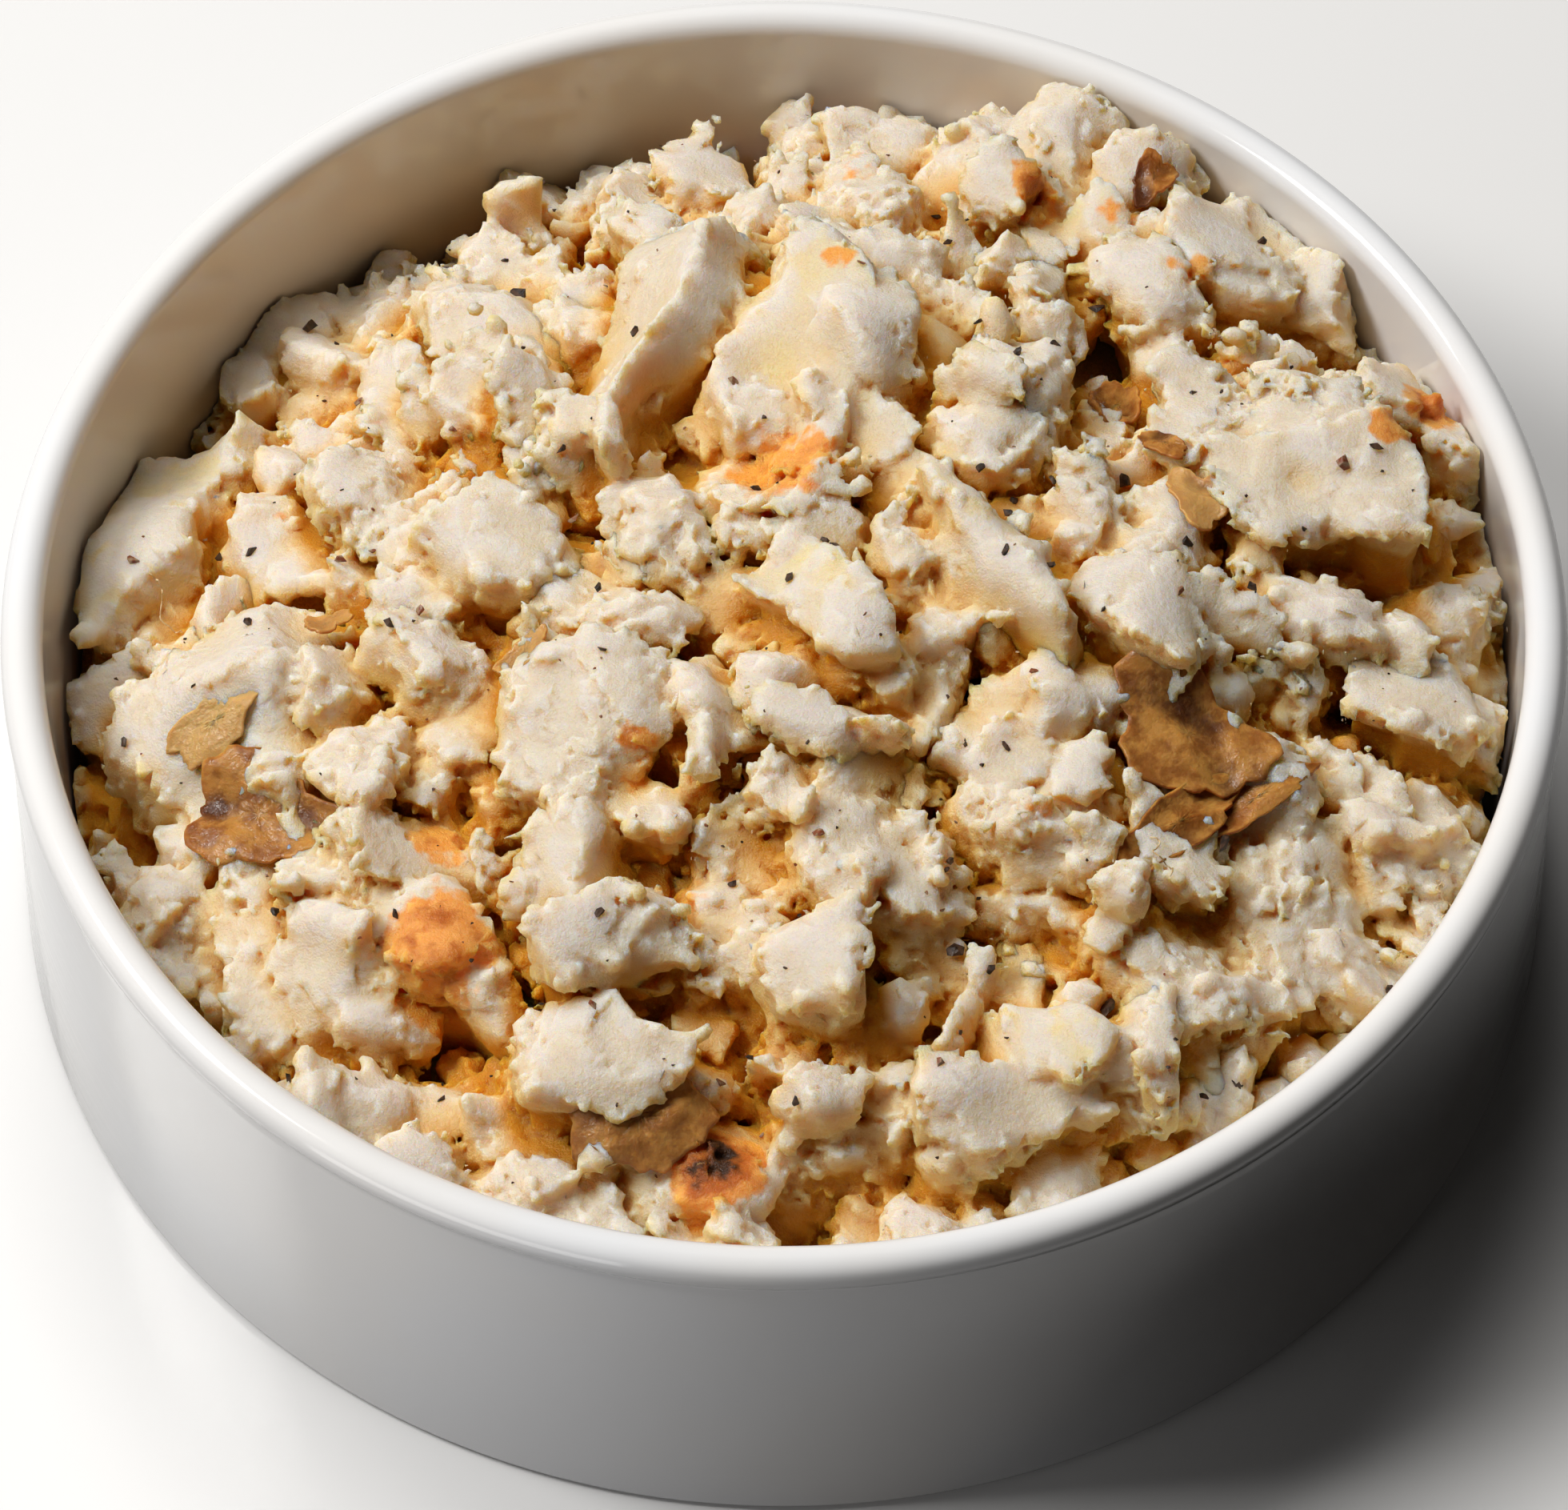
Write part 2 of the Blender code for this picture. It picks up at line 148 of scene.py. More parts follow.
bpy.ops.mesh.primitive_circle_add(vertices=96, radius=FLOOR_RADIUS, fill_type="NGON")
floor = bpy.context.object
floor.name = "floor"
floor.location.z = BOWL_LOW.z
floor.data.materials.append(plain_material("pale_floor", (0.80, 0.80, 0.80), 0.16))
floor.visible_diffuse = False      # a dark room: the floor shows, but throws no light up
print("floor at", floor.location.z)

# %% [markdown]
# ## Making a mesh and keeping it
#
# Modifiers are the quickest way to try a shape. Once a shape is right its modifiers are
# applied, because the later steps measure the finished surface.

# %% Mesh helpers
def new_piece(name, verts, faces):
    mesh = bpy.data.meshes.new(name)
    mesh.from_pydata(verts, [], faces)
    obj = bpy.data.objects.new(name, mesh)
    bpy.context.scene.collection.objects.link(obj)
    return obj


def piece_from(bm, name):
    """Makes a scene object of a finished bmesh."""
    mesh = bpy.data.meshes.new(name)
    bm.to_mesh(mesh)
    bm.free()
    obj = bpy.data.objects.new(name, mesh)
    bpy.context.scene.collection.objects.link(obj)
    return obj


def settle(obj):
    """Applies all of a piece's modifiers."""
    deps = bpy.context.evaluated_depsgraph_get()
    made = bpy.data.meshes.new_from_object(obj.evaluated_get(deps))
    before = obj.data
    obj.modifiers.clear()
    obj.data = made
    bpy.data.meshes.remove(before)
    return obj


def points_of(mesh):
    """All vertices, as rows of x, y and z."""
    flat = np.empty(len(mesh.vertices) * 3, np.float32)
    mesh.vertices.foreach_get("co", flat)
    return flat.reshape(-1, 3)


def triangles_of(mesh):
    mesh.calc_loop_triangles()
    flat = np.empty(len(mesh.loop_triangles) * 3, np.int32)
    mesh.loop_triangles.foreach_get("vertices", flat)
    return flat.reshape(-1, 3)


# %% [markdown]
# ## The bowl
#
# A wheel-thrown or jiggered bowl is a turned shape: one outline swung round the axis. It could
# be cut from a cylinder, but the Screw modifier turns an outline in one go. The outline starts
# on the axis at the floor, runs up the inside, over the rolled lip, down the wall and in under
# the foot.

# %% Bowl outline
LIP_THICKNESS = 3.8 * MM
LIP_OVERHANG = 0.35 * MM
LIP_NECK_DROP = 3.6 * MM
WALL_TAPER = 1.6 * MM
FLOOR_TOP = 5.5 * MM
FLOOR_FILLET = 9.0 * MM
FOOT_EDGE = 1.0 * MM
FOOT_WIDTH = 4.5 * MM
FOOT_RECESS = 1.4 * MM
COVE_DROP = 0.8 * MM
COVE_STEPS = 6


def arc(centre_r, centre_z, radius, start_deg, end_deg, steps):
    """Points of an arc in the plane of the outline, as distance from the axis and height."""
    points = []
    for i in range(steps + 1):
        angle = math.radians(start_deg + (end_deg - start_deg) * i / steps)
        points.append((centre_r + radius * math.cos(angle), centre_z + radius * math.sin(angle)))
    return points


def bowl_outline():
    """The outline from the middle of the floor, over the lip and back under the foot."""
    lip = LIP_THICKNESS / 2
    inner_foot = BOWL_RADIUS - LIP_THICKNESS - WALL_TAPER
    wall = BOWL_RADIUS - LIP_OVERHANG
    foot = BOWL_RADIUS - FOOT_EDGE - FOOT_WIDTH
    inside = [(0.0, FLOOR_TOP)]
    inside += arc(inner_foot - FLOOR_FILLET, FLOOR_TOP + FLOOR_FILLET, FLOOR_FILLET, -90, 0, 12)
    rim = arc(BOWL_RADIUS - lip, BOWL_HEIGHT - lip, lip, 180, -40, 26)
    neck_r, neck_z = rim[-1]
    neck = []
    for i in range(1, COVE_STEPS + 1):         # a soft cove from the lip into the wall
        t = i / COVE_STEPS
        ease = t * t * (3 - 2 * t)
        neck.append((neck_r + (wall - neck_r) * ease,
                     neck_z + (BOWL_HEIGHT - LIP_NECK_DROP - COVE_DROP - neck_z) * t))
    under = arc(BOWL_RADIUS - FOOT_EDGE, FOOT_EDGE, FOOT_EDGE, 0, -90, 6)
    under += [(foot, 0.0), (foot - FOOT_RECESS, FOOT_RECESS), (0.0, FOOT_RECESS)]
    return inside + rim + neck + under


# %% Turn the bowl
BOWL_STEPS = 192


def turn_bowl():
    """The whole bowl, with the modifier applied."""
    outline = bowl_outline()
    bm = bmesh.new()
    verts = [bm.verts.new((r, 0.0, z)) for r, z in outline]
    for a, b in zip(verts, verts[1:]):
        bm.edges.new((a, b))
    obj = piece_from(bm, "porcelain_bowl")
    screw = obj.modifiers.new("Turn", "SCREW")
    screw.angle = math.tau
    screw.steps = BOWL_STEPS
    screw.render_steps = BOWL_STEPS
    screw.use_merge_vertices = True
    screw.merge_threshold = 0.00001
    settle(obj)
    obj.data.shade_smooth()
    return obj


bowl = turn_bowl()
print("bowl triangles:", len(triangles_of(bowl.data)))
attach(bowl, "root")
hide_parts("bowl")

# %% [markdown]
# ## The heap
#
# The cook's spoon sets the big shape: a low dome, highest right of the middle, sagging from
# the wall at the back left. On it sit the lumps. Each one is a broken piece of boiled potato,
# so it is a convex chunk with flat torn faces: a hull round a few scattered points.

# %% The smooth heap
HEAP_EDGE = 30.0 * MM
HEAP_RISE = 17.0 * MM
HEAP_SPREAD = 64.0 * MM
HEAP_TOP_AT = (8.0 * MM, 2.0 * MM)
SINK_DIRECTION = (-0.72, 0.69)
SINK_START = 30.0 * MM
SINK_LENGTH = 35.0 * MM
SINK_DEPTH = 8.0 * MM


def heap_height(x, y):
    """Height of the smooth heap over the table, for numbers or arrays in metres."""
    from_top = np.hypot(x - HEAP_TOP_AT[0], y - HEAP_TOP_AT[1]) / HEAP_SPREAD
    along = SINK_DIRECTION[0] * x + SINK_DIRECTION[1] * y - SINK_START
    sink = np.clip(along / SINK_LENGTH, 0.0, 1.0)
    return HEAP_EDGE + HEAP_RISE * np.clip(1.0 - from_top ** 2, 0.0, 1.0) - SINK_DEPTH * sink


# %% The lumps, region by region
# In millimetres and degrees: x, y, top over the smooth heap, length, width, depth,
# yaw, roll, pitch, form, and how crumbly it is from 0, waxy, to 1, all granules.
LUMPS = {
    "crest": [
        (-12, 23, 5.5, 30, 13, 14, 64, 18, 0, "wedge", 0.35),
        (1, 24, 5.0, 25, 11, 14, 70, -10, 0, "block", 0.15),
        (8, 36, 2.0, 12, 9, 9, 10, 0, 0, "block", 0.8),
        (9, 26, 3.0, 15, 9, 9, -52, 0, 0, "block", 0.5),
        (16, 26, 3.0, 5, 6, 6, 20, 0, 0, "round", 0.6),
        (13, 18, -0.5, 18, 10, 9, -50, -25, 0, "block", 0.2),
        (-9, 5, 2.5, 13, 15, 10, 15, 0, 0, "round", 0.9),
        (0, 10, 1.5, 13, 8, 9, 0, 20, 0, "block", 0.7),
        (15, 1, 3.5, 23, 10, 11, -64, 0, 0, "wedge", 0.15),
        (3, -6, 1.5, 16, 13, 9, -20, 8, 0, "block", 0.2),
        (0, -14, 0.5, 11, 8, 8, 0, 0, 0, "round", 0.7),
        (10, -13, 1.5, 9, 8, 8, 30, 0, 0, "round", 0.8),
        (9, -21, 0.5, 10, 9, 8, 0, 0, 0, "round", 0.8),
    ],
    "back": [
        (-13, 47, 0.8, 10, 12, 10, 0, 0, 0, "block", 0.8),
        (-13, 56, 0.2, 9, 9, 9, 20, 0, 0, "round", 0.9),
        (-4, 55, -0.2, 10, 10, 10, 0, 0, 0, "round", 0.8),
        (-4, 46, 0.0, 9, 8, 8, 0, 0, 0, "round", 0.5),
        (5, 50, 0.4, 11, 14, 10, 10, 0, 0, "block", 0.8),
        (15, 49, 0.6, 10, 14, 10, 0, 0, 0, "round", 0.9),
        (24, 49, 2.6, 24, 12, 14, 78, 0, 0, "block", 0.6),
        (34, 49, 3.0, 9, 9, 9, 0, 0, 0, "round", 0.6),
        (29, 39, -1.0, 11, 10, 8, 0, 10, 0, "block", 0.1),
        (43, 42, 3.8, 17, 18, 14, 28, 0, 0, "block", 0.7),
    ],
    "left": [
        (-26, 48, 3.0, 9, 13, 12, 0, 0, 0, "round", 0.4),
        (-26, 52, 6.0, 5, 5, 9, 0, 0, 0, "wedge", 0.2),
        (-35, 43, 1.5, 17, 11, 10, -20, 0, 0, "block", 0.8),
        (-45, 41, 3.0, 12, 14, 12, 0, 0, 0, "round", 0.6),
        (-27, 32, 2.5, 17, 9, 9, -12, 12, 0, "block", 0.3),
        (-25, 42, 1.0, 12, 10, 9, 0, 0, 0, "block", 0.3),
        (-56, 17, 3.5, 30, 12, 12, 67, -22, 0, "block", 0.15),
        (-45.5, 22, 3.5, 6, 7, 7, 10, 0, 0, "round", 0.7),
        (-36, 27, 1.5, 6, 5, 5, 0, 0, 0, "round", 0.6),
        (-27, 23, 2.5, 15, 13, 10, -20, 0, 0, "block", 0.4),
        (-25, 17, 4.0, 6, 8, 7, 0, 0, 0, "round", 0.8),
        (-36, 14, 0.5, 13, 12, 8, 0, 0, 0, "block", 0.5),
        (-25, 3, 3.0, 13, 12, 9, 5, 0, 0, "block", 0.4),
        (-35, 3, 1.5, 9, 11, 8, 0, 0, 0, "round", 0.8),
        (-61, 8, 2.0, 6, 8, 6, 0, 0, 0, "round", 0.5),
        (-57, 4, 1.0, 7, 6, 6, 0, 0, 0, "round", 0.6),
        (-45, 10, -1.5, 12, 10, 8, 0, 0, 0, "block", 0.3),
    ],
    "front_left": [
        (-50, -9, 5.0, 22, 22, 16, 20, 0, 0, "round", 0.45),
        (-17, -4, 1.5, 14, 8, 8, -10, 0, 0, "round", 0.9),
        (-35.5, -6, 2.0, 7, 3, 5, -35, 0, 0, "wedge", 0.1),
        (-29, -9, 0.0, 10, 8, 7, 0, 0, 0, "round", 0.5),
        (-19, -16, 5.0, 16, 18, 13, 20, 0, 0, "round", 0.7),
        (-8, -15, 3.0, 7, 13, 9, 0, 0, 0, "round", 0.6),
        (-34, -16, 1.0, 13, 10, 9, 0, 0, 0, "round", 0.9),
        (-48, -28, 1.5, 10, 9, 8, 0, 0, 0, "round", 0.8),
        (-46.5, -35, 0.5, 8, 8, 7, 0, 0, 0, "round", 0.7),
        (-56, -27, -2.0, 6, 5, 6, 0, 0, 0, "round", 0.6),
        (-38, -23, 2.0, 13, 11, 9, 30, 0, 0, "block", 0.6),
        (-40, -34, 2.0, 10, 13, 9, 0, 0, 0, "round", 0.7),
        (-29, -31, 0.5, 12, 14, 8, 0, 0, 0, "block", 0.6),
    ],
    "front": [
        (-14, -35, 4.5, 13, 14, 12, 0, 0, 0, "round", 0.5),
        (-18, -47, 3.0, 17, 15, 12, 25, 0, 0, "block", 0.6),
        (-34, -46, 1.5, 9, 10, 9, 0, 0, 0, "round", 0.7),
        (-25, -53, 0.5, 12, 7, 8, -20, 0, 0, "round", 0.8),
        (-5, -36, 0.0, 8, 9, 8, 0, 0, 0, "round", 0.6),
        (4, -27, 3.0, 18, 15, 12, 10, 0, 0, "round", 0.9),
        (4, -39, 3.5, 13, 13, 12, 8, 0, 0, "block", 0.7),
        (-6, -55, -1.0, 10, 6, 7, 0, 0, 0, "round", 0.5),
        (-14, -59, -1.5, 12, 4, 6, 5, 0, 0, "round", 0.8),
        (14, -43, 2.0, 12, 8, 10, 60, 0, 0, "wedge", 0.4),
        (22.5, -45, 4.0, 12, 12, 12, -8, 0, 0, "block", 0.15),
        (6, -49, 1.5, 8, 9, 9, 0, 0, 0, "block", 0.5),
        (17, -52, 1.5, 17, 8, 9, 10, 0, 0, "block", 0.5),
        (24, -56, 2.0, 12, 9, 9, 10, 0, 0, "round", 0.7),
        (5, -58, 0.0, 9, 7, 8, 0, 0, 0, "round", 0.7),
        (13, -58, 0.5, 7, 6, 7, 0, 0, 0, "round", 0.7),
        (30, -48, -1.0, 6, 11, 8, 0, 0, 0, "round", 0.6),
        (36, -47, 1.0, 9, 9, 8, 0, 0, 0, "round", 0.6),
        (43, -45, 0.0, 8, 5, 7, 40, 0, 0, "round", 0.6),
        (50, -40, -1.0, 8, 8, 8, 0, 0, 0, "round", 0.7),
    ],
    "right": [
        (31, -6, 1.5, 15, 11, 9, -15, 0, 0, "block", 0.5),
        (45, -4, 1.5, 15, 10, 9, -10, 0, 0, "round", 0.8),
        (59, 1, 3.0, 12, 10, 9, 0, 0, 0, "round", 0.5),
        (48, 13, 6.0, 23, 25, 16, 0, 0, 0, "block", 0.6),
        (31, 5, 1.0, 14, 14, 9, 0, 0, 0, "round", 0.8),
        (22, 3, 2.0, 5, 5, 5, 0, 0, 0, "round", 0.8),
        (36.5, 19, 1.5, 8, 16, 10, -10, 0, 0, "block", 0.8),
        (23, 19, 2.5, 11, 14, 10, 0, 0, 0, "round", 0.7),
        (31, 33, 0.5, 12, 7, 9, 0, 0, 0, "round", 0.5),
    ],
    "front_right": [
        (19, -16, 1.0, 10, 11, 9, 0, 0, 0, "block", 0.6),
        (23, -25, 2.0, 9, 10, 9, 0, 0, 0, "round", 0.4),
        (34, -17, 1.5, 14, 12, 9, 0, 0, 0, "block", 0.5),
        (35, -36, 3.5, 22, 16, 12, -10, 0, 0, "round", 0.95),
        (28, -31, 4.5, 6, 6, 6, 0, 0, 0, "round", 0.7),
        (35, -40, 4.5, 7, 7, 7, 0, 0, 0, "round", 0.7),
        (46, -18, 1.0, 7, 8, 8, 0, 0, 0, "round", 0.6),
        (46.5, -26, 0.5, 8, 12, 8, 0, 0, 0, "round", 0.6),
        (57, -13, 2.5, 13, 11, 10, -10, 0, 0, "block", 0.6),
        (57, -22, 2.0, 12, 12, 10, 0, 0, 0, "round", 0.6),
        (55, -34, 1.0, 11, 12, 9, 0, 0, 0, "round", 0.8),
    ],
}
print("named lumps:", sum(len(rows) for rows in LUMPS.values()))

# %% [markdown]
# ## Working in a block of distances
#
# The lumps fuse where they touch, have crisp torn edges, and carry granules of half a
# millimetre. Booleans would be slow on so many bodies and displaced hulls lose their edges.
# So each region is made in a block of numbers instead: every cell of a fine grid holds its
# distance to the nearest surface. Putting a lump in is a minimum, cutting a hole is a maximum,
# and roughness is a little noise added to the distance. One pass of OpenVDB, which Blender
# carries for its own remesher, then turns the block into a mesh.

# %% The block
VOXEL = 0.28 * MM
FAR = 3.0 * MM


class Block:
    """Distances on a grid. Inside is negative."""

    def __init__(self, low, high):
        self.first = np.floor(np.array(low) / VOXEL).astype(int)
        self.low = self.first * VOXEL
        self.count = np.ceil((np.array(high) - self.low) / VOXEL).astype(int) + 1
        self.distance = np.full(self.count, FAR, np.float32)
        self.crumbly = np.zeros(self.count, np.float32)
        self.axes = [self.low[i] + VOXEL * np.arange(self.count[i]) for i in range(3)]

    def window(self, low, high):
        """Slices of the cells between two corners, and their coordinates."""
        first = np.clip(((np.array(low) - self.low) / VOXEL).astype(int), 0, self.count - 1)
        last = np.clip(((np.array(high) - self.low) / VOXEL).astype(int) + 2, 1, self.count)
        cut = tuple(slice(a, b) for a, b in zip(first, last))
        x, y, z = (self.axes[i][cut[i]].astype(np.float32) for i in range(3))
        return cut, (x[:, None, None], y[None, :, None], z[None, None, :])

    def merge(self, cut, d, fuse, crumbly):
        """Joins a shape to what is there, with a small fillet of fused potato."""
        old = self.distance[cut]
        share = np.clip(0.5 + 0.5 * (old - d) / fuse, 0, 1)
        self.crumbly[cut] = np.where(d < old, crumbly, self.crumbly[cut])
        self.distance[cut] = old + (d - old) * share - fuse * share * (1 - share)

    def tops(self):
        """Height of the highest surface over each column of cells."""
        inside = self.distance < 0
        from_top = inside[:, :, ::-1].argmax(2)
        tops = self.axes[2][self.count[2] - 1 - from_top]
        return np.where(inside.any(2), tops, -1.0)

    def value_at(self, points, values):
        """A stored value at the cell nearest to each point."""
        cell = np.rint((points - self.low) / VOXEL).astype(int)
        cell = np.clip(cell, 0, self.count - 1)
        return values[cell[:, 0], cell[:, 1], cell[:, 2]]

    def surface(self, flatten):
        """Points and faces of the surface, in metres. Flat places get larger faces."""
        grid = openvdb.FloatGrid(background=FAR)
        grid.copyFromArray(np.clip(self.distance, -FAR, FAR))
        points, triangles, quads = grid.convertToPolygons(0.0, flatten)
        faces = triangles.tolist() + quads.tolist()
        return points * VOXEL + self.low, faces


# %% [markdown]
# ## Noise blocks
#
# Two kinds of unevenness are mixed into the distances. Tearing is a smooth random wave a few
# millimetres long. Granules are cells: each has a centre, and bulges around it. Both are made
# once in a block that repeats, and each lump and each crumb takes its own window of it, so that
# no two lumps are torn alike.

# %% Tearing noise
NOISE_CELLS = int(round(43.5 * MM / VOXEL))
CRISPNESS = 5                  # a cell's own share when it is blurred with two neighbours
MEAN_LEVEL = 0.55              # the granules' mean, so that tearing neither grows nor shrinks


def smooth_block(wavelength, seed):
    """Random waves that repeat after NOISE_CELLS, from a coarse lattice through cubic splines."""
    knots = int(round(NOISE_CELLS / (wavelength / VOXEL)))
    lattice = np.random.default_rng(seed).normal(size=(knots, knots, knots))
    where = np.arange(NOISE_CELLS) * knots / NOISE_CELLS
    base = where.astype(int)
    t = where - base
    spline = ((1 - t) ** 3 / 6, (3 * t ** 3 - 6 * t ** 2 + 4) / 6,
              (-3 * t ** 3 + 3 * t ** 2 + 3 * t + 1) / 6, t ** 3 / 6)
    spread = np.zeros((NOISE_CELLS, knots))
    for step, share in enumerate(spline):
        np.add.at(spread, (np.arange(NOISE_CELLS), (base + step - 1) % knots), share)
    block = lattice
    for _ in range(3):
        block = np.moveaxis(np.tensordot(spread, block, (1, 0)), 0, -1)
    return (block / block.std()).astype(np.float32)


def fracture_block(size, seed):
    """Packed granules that repeat after NOISE_CELLS. Each stands out by its own amount, 0 to 1,
    and a groove runs between it and its neighbours."""
    cells = int(round(NOISE_CELLS / (size / VOXEL)))
    step = NOISE_CELLS / cells
    draw = np.random.default_rng(seed)
    offset = draw.uniform(0.05, 0.95, size=(cells, cells, cells, 3)).astype(np.float32)
    level = draw.random((cells, cells, cells)).astype(np.float32)
    line = (np.arange(NOISE_CELLS) / step).astype(np.float32)
    home = line.astype(int)
    nearest = np.full((NOISE_CELLS,) * 3, 9.0, np.float32)
    after = nearest.copy()
    proud = np.zeros_like(nearest)
    for dx in (-1, 0, 1):
        for dy in (-1, 0, 1):
            for dz in (-1, 0, 1):
                cx, cy, cz = home + dx, home + dy, home + dz
                pick = np.ix_(cx % cells, cy % cells, cz % cells)
                centre = offset[pick]
                away = np.sqrt((cx[:, None, None] + centre[..., 0] - line[:, None, None]) ** 2
                               + (cy[None, :, None] + centre[..., 1] - line[None, :, None]) ** 2
                               + (cz[None, None, :] + centre[..., 2] - line[None, None, :]) ** 2)
                after = np.minimum(after, np.maximum(nearest, away))
                np.copyto(proud, level[pick], where=away < nearest)
                nearest = np.minimum(nearest, away)
    groove = np.clip((after - nearest) / 0.35, 0, 1)
    block = 0.65 * proud + 0.35 * np.sqrt(groove)
    for axis in range(3):
        both = np.roll(block, 1, axis) + CRISPNESS * block + np.roll(block, -1, axis)
        block = both / (CRISPNESS + 2)
    return block


def twice(block):
    """The block beside itself along each axis, so that any window of it fits."""
    return np.tile(block, (2, 2, 2))


BEND = twice(smooth_block(9.0 * MM, 10))
WAVE = twice(0.8 * smooth_block(4.5 * MM, 14) + 0.35 * smooth_block(1.9 * MM, 15))
LEDGE = twice(smooth_block(6.0 * MM, 16))
COARSE = twice(0.6 * fracture_block(3.6 * MM, 21) + 0.4 * fracture_block(2.2 * MM, 24))
FINE = twice(0.55 * fracture_block(1.3 * MM, 22) + 0.45 * fracture_block(0.75 * MM, 23))


def noise_window(block, shape, draw):
    """A window of a noise block, at a random place."""
    start = (draw.random(3) * (2 * NOISE_CELLS - np.array(shape))).astype(int)
    return block[tuple(slice(a, a + n) for a, n in zip(start, shape))]


for title, block in (("coarse", COARSE), ("fine", FINE)):
    print(title, "granules:", block.shape, "mean:", round(float(block.mean()), 2))

# %% [markdown]
# ## One lump
#
# A broken piece of potato is convex, with flat torn faces, so it is the space inside a few
# planes. The planes come from the hull of a small cage of points. Some faces are waxy cuts and
# stay nearly smooth; the others are torn and crumble.

# %% Planes of a lump
SAME_WAY = 0.985               # cosine of the turn under which two faces count as one


def lump_cage(form, rng):
    """Points of a torn lump that fits a cube from -1 to 1."""
    points = []
    if form == "round":
        count = 16
        for i in range(count):
            z = 1 - 2 * (i + 0.5) / count
            turn = i * math.pi * (3 - math.sqrt(5))
            ring = math.sqrt(1 - z * z)
            reach = rng.uniform(0.84, 1.08)
            points.append(Vector((ring * math.cos(turn), ring * math.sin(turn), z)) * reach)
        return points
    if form == "block":
        for level in (-1, 1):
            corners = rng.randint(5, 6)
            start = rng.uniform(0, 1)
            for i in range(corners):
                turn = math.tau * (i + start + rng.uniform(-0.28, 0.28)) / corners
                reach = rng.uniform(0.86, 1.12) * (0.92 if level > 0 else 1.0)
                points.append(Vector((reach * math.cos(turn), reach * math.sin(turn),
                                      level * rng.uniform(0.72, 1.0))))
        return points
    for sx in (-1, 1):                         # a wedge, with a narrow ridge on top
        for sy in (-1, 1):
            for sz in (-1, 1):
                ridge = 0.28 if sz > 0 else 1.0
                points.append(Vector((sx * rng.uniform(0.68, 1.0),
                                      sy * ridge * rng.uniform(0.68, 1.0),
                                      sz * rng.uniform(0.72, 1.0))))
    for axis in (0, 2):
        for side in (-1, 1):
            face = Vector((rng.uniform(-0.4, 0.4), rng.uniform(-0.4, 0.4), rng.uniform(-0.4, 0.4)))
            face[axis] = side
            points.append(face)
    return points


def hull_planes(cage, size, turn):
    """Outward normals and reaches of the hull's faces, about the lump's centre."""
    half = Matrix.Diagonal(Vector(size) / 2)
    bm = bmesh.new()
    verts = [bm.verts.new(turn @ (half @ p)) for p in cage]
    bmesh.ops.convex_hull(bm, input=verts)
    bmesh.ops.recalc_face_normals(bm, faces=bm.faces)
    planes = []
    for face in bm.faces:
        normal = face.normal.copy()
        reach = normal.dot(face.verts[0].co)
        if reach < 0:
            normal, reach = -normal, -reach
        if not any(normal.dot(n) > SAME_WAY for n, _ in planes):
            planes.append((normal, reach))
    bm.free()
    return planes


def turned(yaw, roll, pitch):
    """A turn by three angles in degrees."""
    return Euler((math.radians(roll), math.radians(pitch), math.radians(yaw)), "XYZ").to_matrix()


# %% Put a lump in the block
BEND_DEPTH = 1.7 * MM          # how far a face wanders from flat
ROUND_OFF = 0.18 * MM          # the rounding of an edge between two faces
RIM_WIDTH = 1.8 * MM           # how far in from its edges a face is ragged
CRUMB_PLANES = 8
WAVE_DEPTH = 0.42 * MM
COARSE_DEPTH = 1.5 * MM        # how far the large granules are torn off,
FINE_DEPTH = 1.9 * MM          # and the small ones
LEDGE_DEPTH = 2.0 * MM         # two steps down, where a layer has broken off
LEDGE_CLIFF = 5.0              # how sharp the steps are,
LEDGE_JAG = 1.4                # and how ragged
LEDGE_LEVELS = (-0.1, 0.9)     # where on the wave the two steps lie
TOP_TEARING = 0.7              # share of the tearing that shows on a crumbly top
WAXY_TEARING = 0.15            # and on a waxy cut side
SMALL_LUMP = 8 * MM            # smaller lumps are roughened less, in proportion,
SMALL_CRUMB = 1.6 * MM         # and so are smaller crumbs


